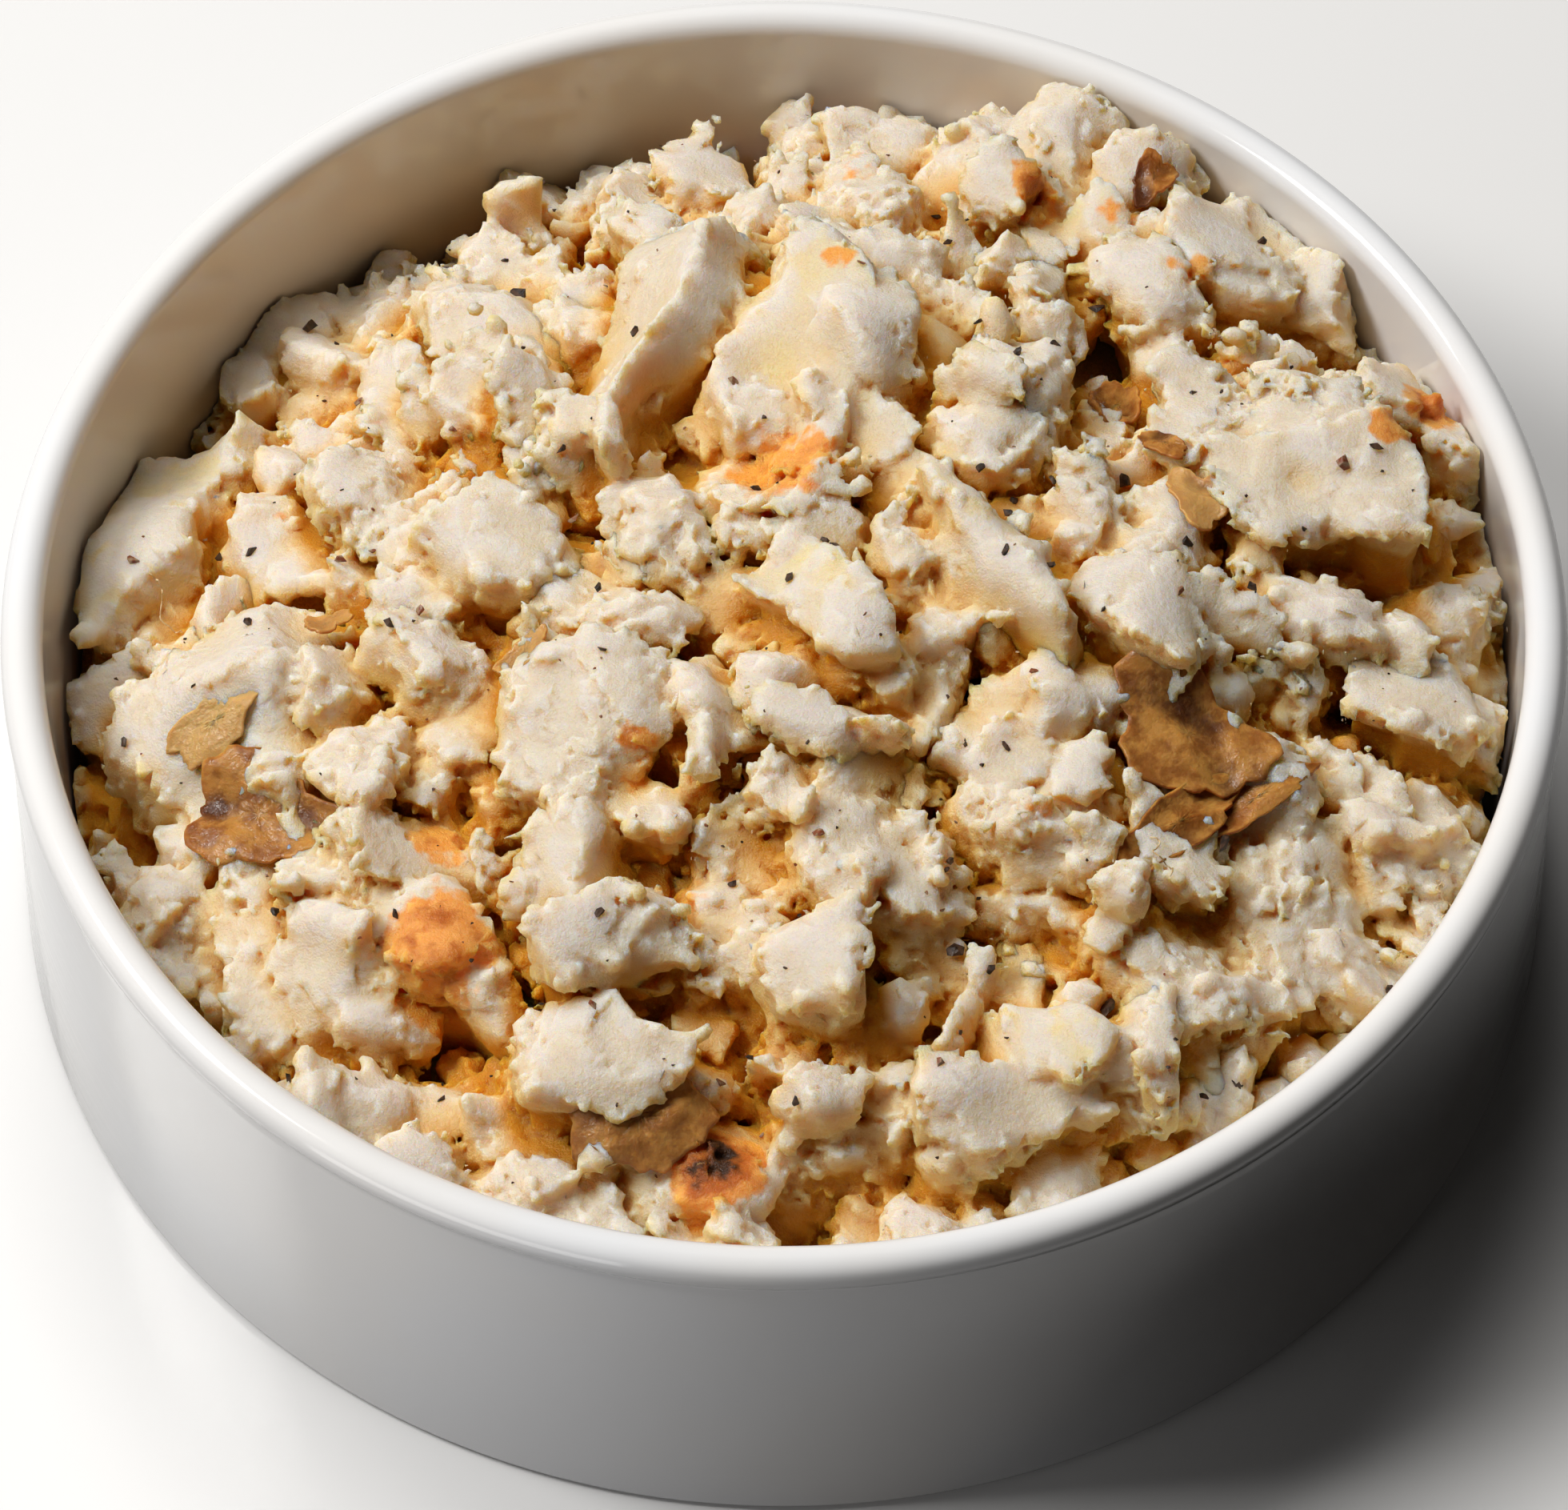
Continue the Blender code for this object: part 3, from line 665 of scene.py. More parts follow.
def add_chunk(block, centre, size, turn, form, crumbly, fuse, rng, draw):
    """A torn lump: its top stays nearly smooth, and its torn sides give it a jagged outline."""
    reach = max(size) / 2 * 1.2 + 2.0 * MM
    cut, (x, y, z) = block.window(np.array(centre) - reach, np.array(centre) + reach)
    shape = block.distance[cut].shape
    if min(shape) < 3:
        return
    small = min(1.0, min(size) / SMALL_LUMP)
    x, y, z = (axis - middle + BEND_DEPTH * small * noise_window(BEND, shape, draw)
               for axis, middle in zip((x, y, z), centre))
    fine = noise_window(FINE, shape, draw)
    torn_off = (COARSE_DEPTH * small * (MEAN_LEVEL - noise_window(COARSE, shape, draw))
                + FINE_DEPTH * small * (MEAN_LEVEL - fine))
    wave = noise_window(LEDGE, shape, draw) + LEDGE_JAG * (fine - MEAN_LEVEL)
    steps = sum(0.5 * np.clip(LEDGE_CLIFF * (wave - level), 0, 1) for level in LEDGE_LEVELS)
    ledges = LEDGE_DEPTH * small * min(1.0, 0.1 + 1.4 * crumbly) * steps
    top_tearing = TOP_TEARING * crumbly * (0.35 + 0.65 * steps)
    solid = np.full(shape, -FAR * 3, np.float32)
    second = solid.copy()
    for normal, out in hull_planes(lump_cage(form, rng), size, turn):
        flat = min(max((normal.z - 0.5) / 0.35, 0.0), 1.0)       # 1 for a top, 0 for a side
        waxy_side = draw.random() > 0.35 + 0.8 * crumbly
        side_tearing = WAXY_TEARING if waxy_side else 0.8 + 0.4 * crumbly
        tearing = side_tearing * (1 - flat) + top_tearing * flat
        away = x * normal.x + y * normal.y + z * normal.z - out + tearing * torn_off + ledges
        second = np.maximum(second, np.minimum(solid, away))
        share = np.clip(0.5 + 0.5 * (away - solid) / (ROUND_OFF * small), 0, 1)
        solid = solid + (away - solid) * share + ROUND_OFF * small * share * (1 - share)
    rim = np.clip(1 - (solid - second) / (RIM_WIDTH * small), 0, 1)
    ragged = (0.15 + 0.5 * crumbly) * rim * torn_off
    solid = solid + ragged + WAVE_DEPTH * noise_window(WAVE, shape, draw)
    block.merge(cut, solid, fuse, crumbly)


def add_crumb(block, centre, radii, turn, fuse, draw):
    """An angular crumb: the space inside a few random planes, broken along its granules."""
    reach = max(radii) * 1.25 + 0.7 * MM
    cut, (x, y, z) = block.window(np.array(centre) - reach, np.array(centre) + reach)
    shape = block.distance[cut].shape
    if min(shape) < 3:
        return
    x, y, z = x - centre[0], y - centre[1], z - centre[2]
    across = [(x * axis.x + y * axis.y + z * axis.z) / radius
              for axis, radius in zip(turn.col, radii)]
    middle = float(np.mean(radii))
    solid = np.full(shape, -9.0, np.float32)
    for _ in range(CRUMB_PLANES):
        normal = draw.normal(size=3)
        normal /= np.linalg.norm(normal)
        away = across[0] * normal[0] + across[1] * normal[1] + across[2] * normal[2]
        solid = np.maximum(solid, away - draw.uniform(0.72, 1.0))
    round_part = np.sqrt(across[0] ** 2 + across[1] ** 2 + across[2] ** 2) - 1.12
    solid = np.maximum(solid, round_part) * middle
    small = min(1.0, middle / SMALL_CRUMB)
    solid = solid + FINE_DEPTH * small * (MEAN_LEVEL - noise_window(FINE, shape, draw))
    block.merge(cut, solid, fuse, 0.8)


# %% [markdown]
# ## Filling between the lumps
#
# Between the lumps that stand out, the heap is made of smaller ones, sunk a little deeper.
# They lie on a loose grid with every place shaken, which keeps them even without a pattern.
# A few deep holes are left open: they are what makes the heap look loose.

# %% Filler lumps
HOLES = (                      # x, y, radius and depth of the deep holes, in millimetres
    (30.5, 22, 6, 9), (16.5, -21, 5.5, 9), (15, -35, 4.5, 7), (-9, -29, 5, 6), (-62, -14, 8, 12),
    (-7, -7, 2.5, 5), (-17, 9, 2.5, 4), (47, -11, 3.5, 5), (-5, -46, 5, 6), (-40, -40, 3, 5),
    (63, 15, 4, 12), (50, 33, 5, 9), (12, 9, 3, 5), (-20, 37, 3, 4), (39, -46, 3, 5),
    (-47, 6, 3.5, 4), (8, 10, 3, 4), (-27, -19, 2.5, 5), (31, -50, 3, 5),
)
FILL_STEP = 6.0 * MM
FILL_MARGIN = 6.5 * MM         # what the middles keep from the outside of the bowl


def hole_depth(x, y):
    """How far the holes sink the filling at a place."""
    sunk = np.zeros(np.shape(x))
    for hx, hy, radius, depth in HOLES:
        away = np.hypot(x - hx * MM, y - hy * MM) / (radius * MM)
        sunk = np.maximum(sunk, depth * MM * np.clip(1.35 - away, 0, 1))
    return sunk


def fill_places(seed):
    """Shaken places of a loose grid that lie inside the bowl."""
    draw = np.random.default_rng(seed)
    places = []
    steps = int(BOWL_RADIUS / FILL_STEP)
    for i in range(-steps, steps + 1):
        for j in range(-steps, steps + 1):
            x = (i + 0.5 * (j % 2) + draw.uniform(-0.35, 0.35)) * FILL_STEP
            y = (j + draw.uniform(-0.35, 0.35)) * FILL_STEP * 0.9
            if math.hypot(x, y) < BOWL_RADIUS - FILL_MARGIN:
                places.append((x, y))
    return places


FILL = fill_places(5)
print("filler lumps:", len(FILL))


# %% A region's block
FUSE = 0.43 * MM               # the fillet where two lumps stick together
CRUMB_FUSE = 0.3 * MM
LUMP_SPREAD = 1.15             # how much wider a lump is than the table says, to close gaps
LUMP_SHAKE = 9                 # degrees that a crumbly lump may lean
FILL_WIDTH = (8.5 * MM, 12.5 * MM)
FILL_LEAN = 25
FILL_SINK = (-0.5 * MM, 2.3 * MM)
REGION_MARGIN = 12 * MM
REGION_HEIGHTS = (8 * MM, 58 * MM)
SATELLITE_SPREAD = 120         # a lump this large, in square millimetres, gets one satellite
SATELLITE_RADIUS = (1.0, 2.3)
CRUMBS_PER_LUMP = 32


def region_of(x, y):
    """The region whose lumps lie nearest to a place."""
    best, found = 1e9, None
    for region, rows in LUMPS.items():
        for row in rows:
            away = math.hypot(row[0] * MM - x, row[1] * MM - y) - (row[3] + row[4]) * MM / 4
            if away < best:
                best, found = away, region
    return found


def region_corners(rows, fill):
    """The lowest and highest corner of the block that holds a region."""
    xs = [row[0] * MM for row in rows] + [p[0] for p in fill]
    ys = [row[1] * MM for row in rows] + [p[1] for p in fill]
    return ((min(xs) - REGION_MARGIN, min(ys) - REGION_MARGIN, REGION_HEIGHTS[0]),
            (max(xs) + REGION_MARGIN, max(ys) + REGION_MARGIN, REGION_HEIGHTS[1]))


def over_window(values, cells, pick):
    """The lowest or highest value within some cells, along both axes."""
    for axis in (0, 1):
        best = values
        for step in range(1, cells + 1):
            for way in (-step, step):
                best = pick(best, np.roll(values, way, axis))
        values = best
    return values


def blurred(values, cells):
    """A running mean along both axes, three times over, which is close to a soft blur."""
    for _ in range(3):
        for axis in (0, 1):
            total = np.zeros_like(values)
            for step in range(-cells, cells + 1):
                total += np.roll(values, step, axis)
            values = total / (2 * cells + 1)
    return values


def random_turn(draw):
    return turned(*(draw.uniform(0, 360) for _ in range(3)))


def add_satellites(block, centre, size, turn, count, draw):
    """Smaller broken bits half sunk in the upper sides of a lump."""
    for _ in range(count):
        way = draw.normal(size=3)
        way[2] = abs(way[2]) * 0.45
        way = Vector(way).normalized()
        place = turn @ Vector(way[i] * size[i] / 2 * draw.uniform(0.72, 0.92) for i in range(3))
        radius = draw.uniform(*SATELLITE_RADIUS) * MM
        radii = [radius * draw.uniform(0.75, 1.25) for _ in range(3)]
        add_crumb(block, Vector(centre) + place, radii, random_turn(draw), FUSE, draw)


def add_crumbs(block, count, draw):
    """Crumbs stuck to the upper surface, most of them where it is steep."""
    tops = block.tops()
    found = np.argwhere(tops > 0)
    rim = np.abs(tops - blurred(tops, int(1.0 * MM / VOXEL))) / MM
    weight = np.clip(rim[found[:, 0], found[:, 1]] - 0.2, 0.01, 1.5)
    picked = found[draw.choice(len(found), count, p=weight / weight.sum())]
    for i, j in picked:
        radius = (0.40 + 0.55 * draw.random() ** 2.5) * MM
        radii = [radius * draw.uniform(0.7, 1.35) for _ in range(3)]
        z = tops[i, j] + radius * draw.uniform(-0.7, 0.1)
        centre = (block.axes[0][i], block.axes[1][j], z)
        add_crumb(block, centre, radii, random_turn(draw), CRUMB_FUSE, draw)


def heap_region(rows, fill, seed):
    """The block of one region: its filling, then its named lumps, then the crumbs."""
    draw = np.random.default_rng(seed)
    rng = random.Random(seed)
    block = Block(*region_corners(rows, fill))
    for x, y in fill:
        width = draw.uniform(*FILL_WIDTH)
        size = (width, width * draw.uniform(0.75, 1.1), width * draw.uniform(0.7, 0.9))
        drop = draw.uniform(*FILL_SINK) + float(hole_depth(x, y))
        centre = (x, y, float(heap_height(x, y)) - drop - size[2] / 2)
        yaw = draw.uniform(0, 360)
        roll, pitch = (draw.uniform(-FILL_LEAN, FILL_LEAN) for _ in range(2))
        turn = turned(yaw, roll, pitch)
        crumbly = draw.uniform(0.55, 1.0)
        add_chunk(block, centre, size, turn, "block", crumbly, FUSE, rng, draw)
        add_satellites(block, centre, size, turn, 1, draw)
    for x, y, rise, length, width, depth, yaw, roll, pitch, form, crumbly in rows:
        top = float(heap_height(x * MM, y * MM)) + rise * MM
        centre = (x * MM, y * MM, top - depth * MM / 2)
        size = (length * LUMP_SPREAD * MM, width * LUMP_SPREAD * MM, depth * MM)
        roll += draw.uniform(-LUMP_SHAKE, LUMP_SHAKE) * crumbly
        pitch += draw.uniform(-LUMP_SHAKE, LUMP_SHAKE) * crumbly
        turn = turned(yaw, roll, pitch)
        add_chunk(block, centre, size, turn, form, crumbly, FUSE, rng, draw)
        satellites = int(crumbly * (length * width / SATELLITE_SPREAD))
        add_satellites(block, centre, size, turn, satellites, draw)
    add_crumbs(block, CRUMBS_PER_LUMP * len(rows), draw)
    return block


fill_of = {region: [] for region in LUMPS}
for x, y in FILL:
    fill_of[region_of(x, y)].append((x, y))

blocks = {}
for number, (region, rows) in enumerate(LUMPS.items()):
    blocks[region] = heap_region(rows, fill_of[region], 100 + number)
    print(region, "cells:", blocks[region].count, "fillers:", len(fill_of[region]))

# %% [markdown]
# ## One map of the whole heap
#
# Only the outside of the heap can be seen, so each region is cut to a thick crust. A map of
# the highest surface says where that crust must lie. The same map, blurred, later tells the
# painted shade how deep in a crevice each point is.

# %% Height map
MAP_FIRST = int(np.floor(-BOWL_RADIUS / VOXEL))
MAP_COUNT = 2 * abs(MAP_FIRST) + 1

heap_top = np.full((MAP_COUNT, MAP_COUNT), -1.0)
for block in blocks.values():
    i, j = block.first[0] - MAP_FIRST, block.first[1] - MAP_FIRST
    part = block.tops()
    low = (max(i, 0), max(j, 0))
    high = (min(i + part.shape[0], MAP_COUNT), min(j + part.shape[1], MAP_COUNT))
    here = heap_top[low[0]:high[0], low[1]:high[1]]
    there = part[low[0] - i:high[0] - i, low[1] - j:high[1] - j]
    heap_top[low[0]:high[0], low[1]:high[1]] = np.maximum(here, there)

map_x = ((MAP_FIRST + np.arange(MAP_COUNT)) * VOXEL)[:, None]
map_y = map_x.T
bare = heap_top < 0
heap_top = np.where(bare, heap_height(map_x, map_y) - 6 * MM, heap_top)
print("heap top in mm:", round(float(heap_top.max()) / MM, 1), "map cells without potato:",
      int(bare[np.hypot(map_x, map_y) < BOWL_RADIUS - 8 * MM].sum()))

# %% Crust
ROOM_GAP = 0.25 * MM
HIDDEN_REACH = 1.2 * MM        # what lies this far under the edge of a lump,
HIDDEN_DEPTH = 1.0 * MM        # and this deep, is never seen
CRUST = 2.2 * MM
lowest = over_window(heap_top, int(3.0 * MM / VOXEL), np.minimum)
bed = blurred(lowest, int(1.6 * MM / VOXEL)) - CRUST


def room_radius(z):
    """The bowl's inside at a height."""
    wall_height = BOWL_HEIGHT - FLOOR_TOP - FLOOR_FILLET
    up = np.clip((z - FLOOR_TOP - FLOOR_FILLET) / wall_height, 0, 1)
    return BOWL_RADIUS - LIP_THICKNESS - WALL_TAPER * (1 - up) - ROOM_GAP


def map_at(values, x, y):
    """A map's value at each place."""
    i = np.clip(np.rint(x / VOXEL).astype(int) - MAP_FIRST, 0, MAP_COUNT - 1)
    j = np.clip(np.rint(y / VOXEL).astype(int) - MAP_FIRST, 0, MAP_COUNT - 1)
    return values[i, j]


def trim(block):
    """Fills hidden gaps, and cuts a region to the bowl's inside and to the bed of the crust."""
    x, y = block.axes[0][:, None, None], block.axes[1][None, :, None]
    z = block.axes[2][None, None, :]
    packed = over_window(block.tops(), int(HIDDEN_REACH / VOXEL), np.minimum) - HIDDEN_DEPTH
    block.distance = np.minimum(block.distance, z - packed[:, :, None])
    outside = np.hypot(x, y) - room_radius(z)
    under = map_at(bed, x[:, :, 0], y[:, :, 0])[:, :, None] - z
    block.distance = np.maximum(block.distance, np.maximum(outside, under)).astype(np.float32)


# %% [markdown]
# ## What each point of the surface knows
#
# Potato changes colour with its place, and some of that colour is painted light and shade.
# Crumbly potato is ivory and broken waxy faces stay yellow. Points that stand out are painted
# paler, as painted light. Steep sides are painted gold and crevices orange, as painted shade
# for light that has been through potato several times. So each point stores how crumbly it is,
# how deep it lies below its surroundings near and far, and whether it stands out or lies in a
# pit. The material mixes its colours from these.

# %% Stored values
near_top = blurred(heap_top, int(1.5 * MM / VOXEL))
wide_top = blurred(heap_top, int(4.0 * MM / VOXEL))


def store(mesh, name, values):
    """Keeps one number for each point, where the material can read it."""
    made = mesh.attributes.new(name, "FLOAT", "POINT")
    made.data.foreach_set("value", np.ascontiguousarray(values, np.float32))


def edges_of(mesh):
    """Both ends of every edge."""
    flat = np.empty(len(mesh.edges) * 2, np.int32)
    mesh.edges.foreach_get("vertices", flat)
    return flat.reshape(-1, 2)


def neighbour_mean(values, edges):
    """The mean of each point's neighbours."""
    total, count = np.zeros(len(values)), np.zeros(len(values))
    for here, there in ((0, 1), (1, 0)):
        total += np.bincount(edges[:, here], values[edges[:, there]], len(values))
        count += np.bincount(edges[:, here], minlength=len(values))
    return total / np.maximum(count, 1)


def standing_out(mesh):
    """How far each point stands out from the mean of its neighbours, along the normal."""
    points, edges = points_of(mesh), edges_of(mesh)
    normals = np.empty(len(points) * 3, np.float32)
    mesh.vertices.foreach_get("normal", normals)
    normals = normals.reshape(-1, 3)
    away = sum((points[:, i] - neighbour_mean(points[:, i], edges)) * normals[:, i]
               for i in range(3))
    return away, normals, edges


def spread(values, edges, rounds):
    """Averages a value with its neighbours."""
    for _ in range(rounds):
        values = 0.4 * values + 0.6 * neighbour_mean(values, edges)
    return values


TOASTED = (                    # x, y, radius in millimetres and strength of the browned places
    (0, 10, 5, 0.9), (-30, -34, 5.5, 1.0), (-30, -23, 3, 0.9), (-26, -34, 3, 0.5),
    (-13, -19, 2.5, 0.7), (7, 51, 2.5, 0.6), (23, 46, 2.2, 1.2), (54, 15, 2.5, 0.8),
    (59, 24, 3, 1.2), (5, 31, 1.6, 0.8), (-47, 16, 3, 0.4), (-6, -55, 4, 1.5),
    (22, -25, 2, 0.5), (3, -14, 2, 0.3), (37, 36, 2.5, 0.6), (8, -30, 2, 0.3),
    (-9, -30, 3, 0.7), (-38, 24, 2.5, 0.4), (31, 44, 2.5, 0.6), (58, 8, 2, 0.4),
)


def toast_at(points):
    """How browned each point is, from 0 to about 1.5."""
    toast = np.zeros(len(points))
    for x, y, radius, strength in TOASTED:
        away = np.hypot(points[:, 0] - x * MM, points[:, 1] - y * MM) / (radius * MM)
        toast = np.maximum(toast, strength * np.clip(1.5 - away, 0, 1))
    return toast


# %% Region meshes
FLATTEN = 1.6                  # how much larger the faces of a flat place may be


def region_piece(name, block):
    """A region's crust as a mesh, with the values that its material mixes."""
    trim(block)
    points, faces = block.surface(FLATTEN)
    obj = new_piece(name, points.tolist(), faces)
    mesh = obj.data
    mesh.shade_smooth()
    proud, normals, edges = standing_out(mesh)
    store(mesh, "crumbly", spread(block.value_at(points, block.crumbly), edges, 2))
    # proud feeds the painted light of points that stand out
    store(mesh, "proud", spread(proud, edges, 1) / MM)
    # sunk_near and sunk_wide feed the painted shade of hollows and crevices
    store(mesh, "sunk_near", (map_at(near_top, points[:, 0], points[:, 1]) - points[:, 2]) / MM)
    store(mesh, "sunk_wide", (map_at(wide_top, points[:, 0], points[:, 1]) - points[:, 2]) / MM)
    store(mesh, "toast", toast_at(points))
    # steep feeds the painted shade of steep sides
    store(mesh, "steep", 1 - spread(normals[:, 2], edges, 4))
    return obj


# %% [markdown]
# ## Materials
#
# Every look is made by nodes from noise and from the values stored on the points. Helpers keep
# the node trees short to read. The porcelain's glaze is almost even: a faint warmth here and
# there, and wear that runs round the wall, which only shows in the reflections.

# %% Node helpers
def new_material(name):
    made = bpy.data.materials.new(name)
    made.use_nodes = True
    return made, made.node_tree, made.node_tree.nodes["Principled BSDF"]


def attribute(tree, name):
    node = tree.nodes.new("ShaderNodeAttribute")
    node.attribute_name = name
    return node.outputs["Fac"]


def noise(tree, scale, detail=2.0, roughness=0.5, vector=None):
    """Noise in the piece's own space; a scale of 1000 makes it about a millimetre long."""
    node = tree.nodes.new("ShaderNodeTexNoise")
    node.inputs["Scale"].default_value = scale
    node.inputs["Detail"].default_value = detail
    node.inputs["Roughness"].default_value = roughness
    if vector is None:
        place = tree.nodes.new("ShaderNodeTexCoord")
        vector = place.outputs["Object"]
    tree.links.new(vector, node.inputs["Vector"])
    return node.outputs["Fac"]


def ramp(tree, value, low, high, to_low=0.0, to_high=1.0):
    """Runs smoothly from to_low to to_high while a value goes from low to high."""
    node = tree.nodes.new("ShaderNodeMapRange")
    node.interpolation_type = "SMOOTHSTEP"
    limits = {"From Min": low, "From Max": high, "To Min": to_low, "To Max": to_high}
    for socket, number in limits.items():
        node.inputs[socket].default_value = number
    tree.links.new(value, node.inputs["Value"])
    return node.outputs["Result"]


def maths(tree, operation, a, b):
    """A Math node's output; a and b are numbers or other nodes' outputs."""
    node = tree.nodes.new("ShaderNodeMath")
    node.operation = operation
    for socket, value in zip(node.inputs, (a, b)):
        if isinstance(value, (int, float)):
            socket.default_value = value
        else:
            tree.links.new(value, socket)
    return node.outputs[0]


def mix(tree, share, a, b):
    """Mixes two colours, each a tuple or another node's output."""
    node = tree.nodes.new("ShaderNodeMix")
    node.data_type = "RGBA"
    for socket, value in ((node.inputs[0], share), (node.inputs[6], a), (node.inputs[7], b)):
        if isinstance(value, tuple):
            socket.default_value = (*value, 1.0)
        elif isinstance(value, float):
            socket.default_value = value
        else:
            tree.links.new(value, socket)
    return node.outputs[2]


def bump(tree, heights):
    """Bumps laid over each other: pairs of a height socket and its depth in metres."""
    normal = None
    for height, depth in heights:
        node = tree.nodes.new("ShaderNodeBump")
        node.inputs["Distance"].default_value = depth
        node.inputs["Strength"].default_value = 1.0
        tree.links.new(height, node.inputs["Height"])
        if normal is not None:
            tree.links.new(normal, node.inputs["Normal"])
        normal = node.outputs["Normal"]
    return normal


# %% Porcelain glaze
GLAZE = (0.80, 0.81, 0.83)
GLAZE_WARM = (0.81, 0.80, 0.79)


def glaze_material():
    """A hard white glaze, with a little wear in its shine."""
    made, tree, shader = new_material("glaze")
    colour = mix(tree, ramp(tree, noise(tree, 28, 3), 0.35, 0.65), GLAZE, GLAZE_WARM)
    tree.links.new(colour, shader.inputs["Base Color"])
    place = tree.nodes.new("ShaderNodeTexCoord")
    stretch = tree.nodes.new("ShaderNodeMapping")
    stretch.inputs["Scale"].default_value = (1.0, 1.0, 14.0)
    tree.links.new(place.outputs["Object"], stretch.inputs["Vector"])
    wear = noise(tree, 120, 6, 0.65, stretch.outputs["Vector"])
    tree.links.new(ramp(tree, wear, 0.35, 0.75, 0.09, 0.17), shader.inputs["Roughness"])
    shader.inputs["IOR"].default_value = 1.52
    tree.links.new(bump(tree, ((noise(tree, 70, 2), 0.00003),)), shader.inputs["Normal"])
    return made


bowl.data.materials.clear()
bowl.data.materials.append(glaze_material())

# %% [markdown]
# ## The potato's material
#
# A node tree mixes the colours of the place: ivory tops, the yellow of a waxy face and the browns
# of a toasted patch; painted light, paler where points stand out; and painted shade, the gold of
# a steep side and the orange of a crevice. A painted texture would fix them by hand, but the
# stored values follow the shape by themselves. Subsurface scattering does the rest: red light
# travels furthest, so edges and thin crumbs glow warm. Two fine bumps make the moist sparkle that
# granules have.

# %% Potato
IVORY = (0.73, 0.635, 0.50)
# painted light: the paler colour of points that stand out, as where light catches granules
PROUD_LIGHT = (0.72, 0.665, 0.61)
WAXY = (0.76, 0.63, 0.37)
# painted shade: the gold of steep sides and shallow hollows, for light that has passed through
# potato
SIDE_SHADE = (0.80, 0.51, 0.14)
# painted shade: the deep orange of crevices
CREVICE_SHADE = (0.62, 0.25, 0.008)
TOAST_LIGHT = (0.84, 0.34, 0.045)
TOAST_DARK = (0.48, 0.12, 0.015)
BURNT = (0.05, 0.02, 0.01)


def centred(tree, value, share):
    """A noise brought to zero on average, and made larger or smaller."""
    return maths(tree, "MULTIPLY", maths(tree, "SUBTRACT", value, 0.5), share)


def potato_material():
    """The look of all the potato, driven by what each point knows."""
    made, tree, shader = new_material("potato")
    patches = maths(tree, "SUBTRACT", noise(tree, 140, 3), 0.5)
    fine = noise(tree, 900, 2)
    crumbly = maths(tree, "ADD", attribute(tree, "crumbly"), maths(tree, "MULTIPLY", patches, 0.9))
    colour = mix(tree, ramp(tree, crumbly, 0.05, 0.35), WAXY, IVORY)
    # painted light: points that stand out from their neighbours are painted paler
    colour = mix(tree, ramp(tree, attribute(tree, "proud"), 0.00, 0.06, 0.0, 0.8), colour, PROUD_LIGHT)
    # painted shade: steep sides are painted gold
    colour = mix(tree, ramp(tree, attribute(tree, "steep"), 0.15, 0.95, 0.0, 0.8), colour, SIDE_SHADE)
    depth = maths(tree, "ADD", attribute(tree, "sunk_wide"), attribute(tree, "sunk_near"))
    depth = maths(tree, "ADD", depth, maths(tree, "MULTIPLY", patches, 2.0))
    # painted shade: shallow hollows are painted gold
    colour = mix(tree, ramp(tree, depth, -0.8, 2.0, 0.0, 0.65), colour, SIDE_SHADE)
    # painted shade: deeper crevices are painted orange
    colour = mix(tree, ramp(tree, depth, 0.8, 4.0, 0.0, 0.95), colour, CREVICE_SHADE)
    toast = maths(tree, "ADD", attribute(tree, "toast"), centred(tree, noise(tree, 420, 4), 1.4))
    colour = mix(tree, ramp(tree, toast, 0.45, 0.75, 0.0, 0.9), colour, TOAST_LIGHT)
    colour = mix(tree, ramp(tree, toast, 0.85, 1.25, 0.0, 0.9), colour, TOAST_DARK)
    colour = mix(tree, ramp(tree, toast, 1.25, 1.6), colour, BURNT)
    tree.links.new(colour, shader.inputs["Base Color"])
    tree.links.new(ramp(tree, fine, 0.3, 0.7, 0.34, 0.58), shader.inputs["Roughness"])
    shader.inputs["Subsurface Weight"].default_value = 1.0
    shader.inputs["Subsurface Radius"].default_value = (1.0, 0.66, 0.28)
    shader.inputs["Subsurface Scale"].default_value = 0.0034
    shader.inputs["IOR"].default_value = 1.4
    heights = ((noise(tree, 1700, 2), 0.00022), (noise(tree, 5000, 1), 0.00016))
    tree.links.new(bump(tree, heights), shader.inputs["Normal"])
    return made


potato = potato_material()
pieces = []
for region, block in blocks.items():
    piece = region_piece("mash_" + region, block)
    piece.data.materials.append(potato)
    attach(piece, "root")
    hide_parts("mash")
    pieces.append(piece)
    print(region, "triangles:", len(triangles_of(piece.data)))
print("potato triangles:", sum(len(triangles_of(piece.data)) for piece in pieces))

# %% [markdown]
# ## Potato skin
#
# The skins were boiled with the potatoes, so they are thin, limp and wrinkled. Each one is a
# leaf with an uneven outline, laid over a blurred map of the heap so that lumps poke through
# it, and pinched into folds. A cloth simulation would drape it too, but the folds matter more
# than the fall, and a few ridges of a sine give those directly.

# %% Leaves of skin
SKIN_THICKNESS = 0.30 * MM
LEAF_RINGS, LEAF_SECTORS = 16, 60
FOLD_DEPTH = 0.60 * MM


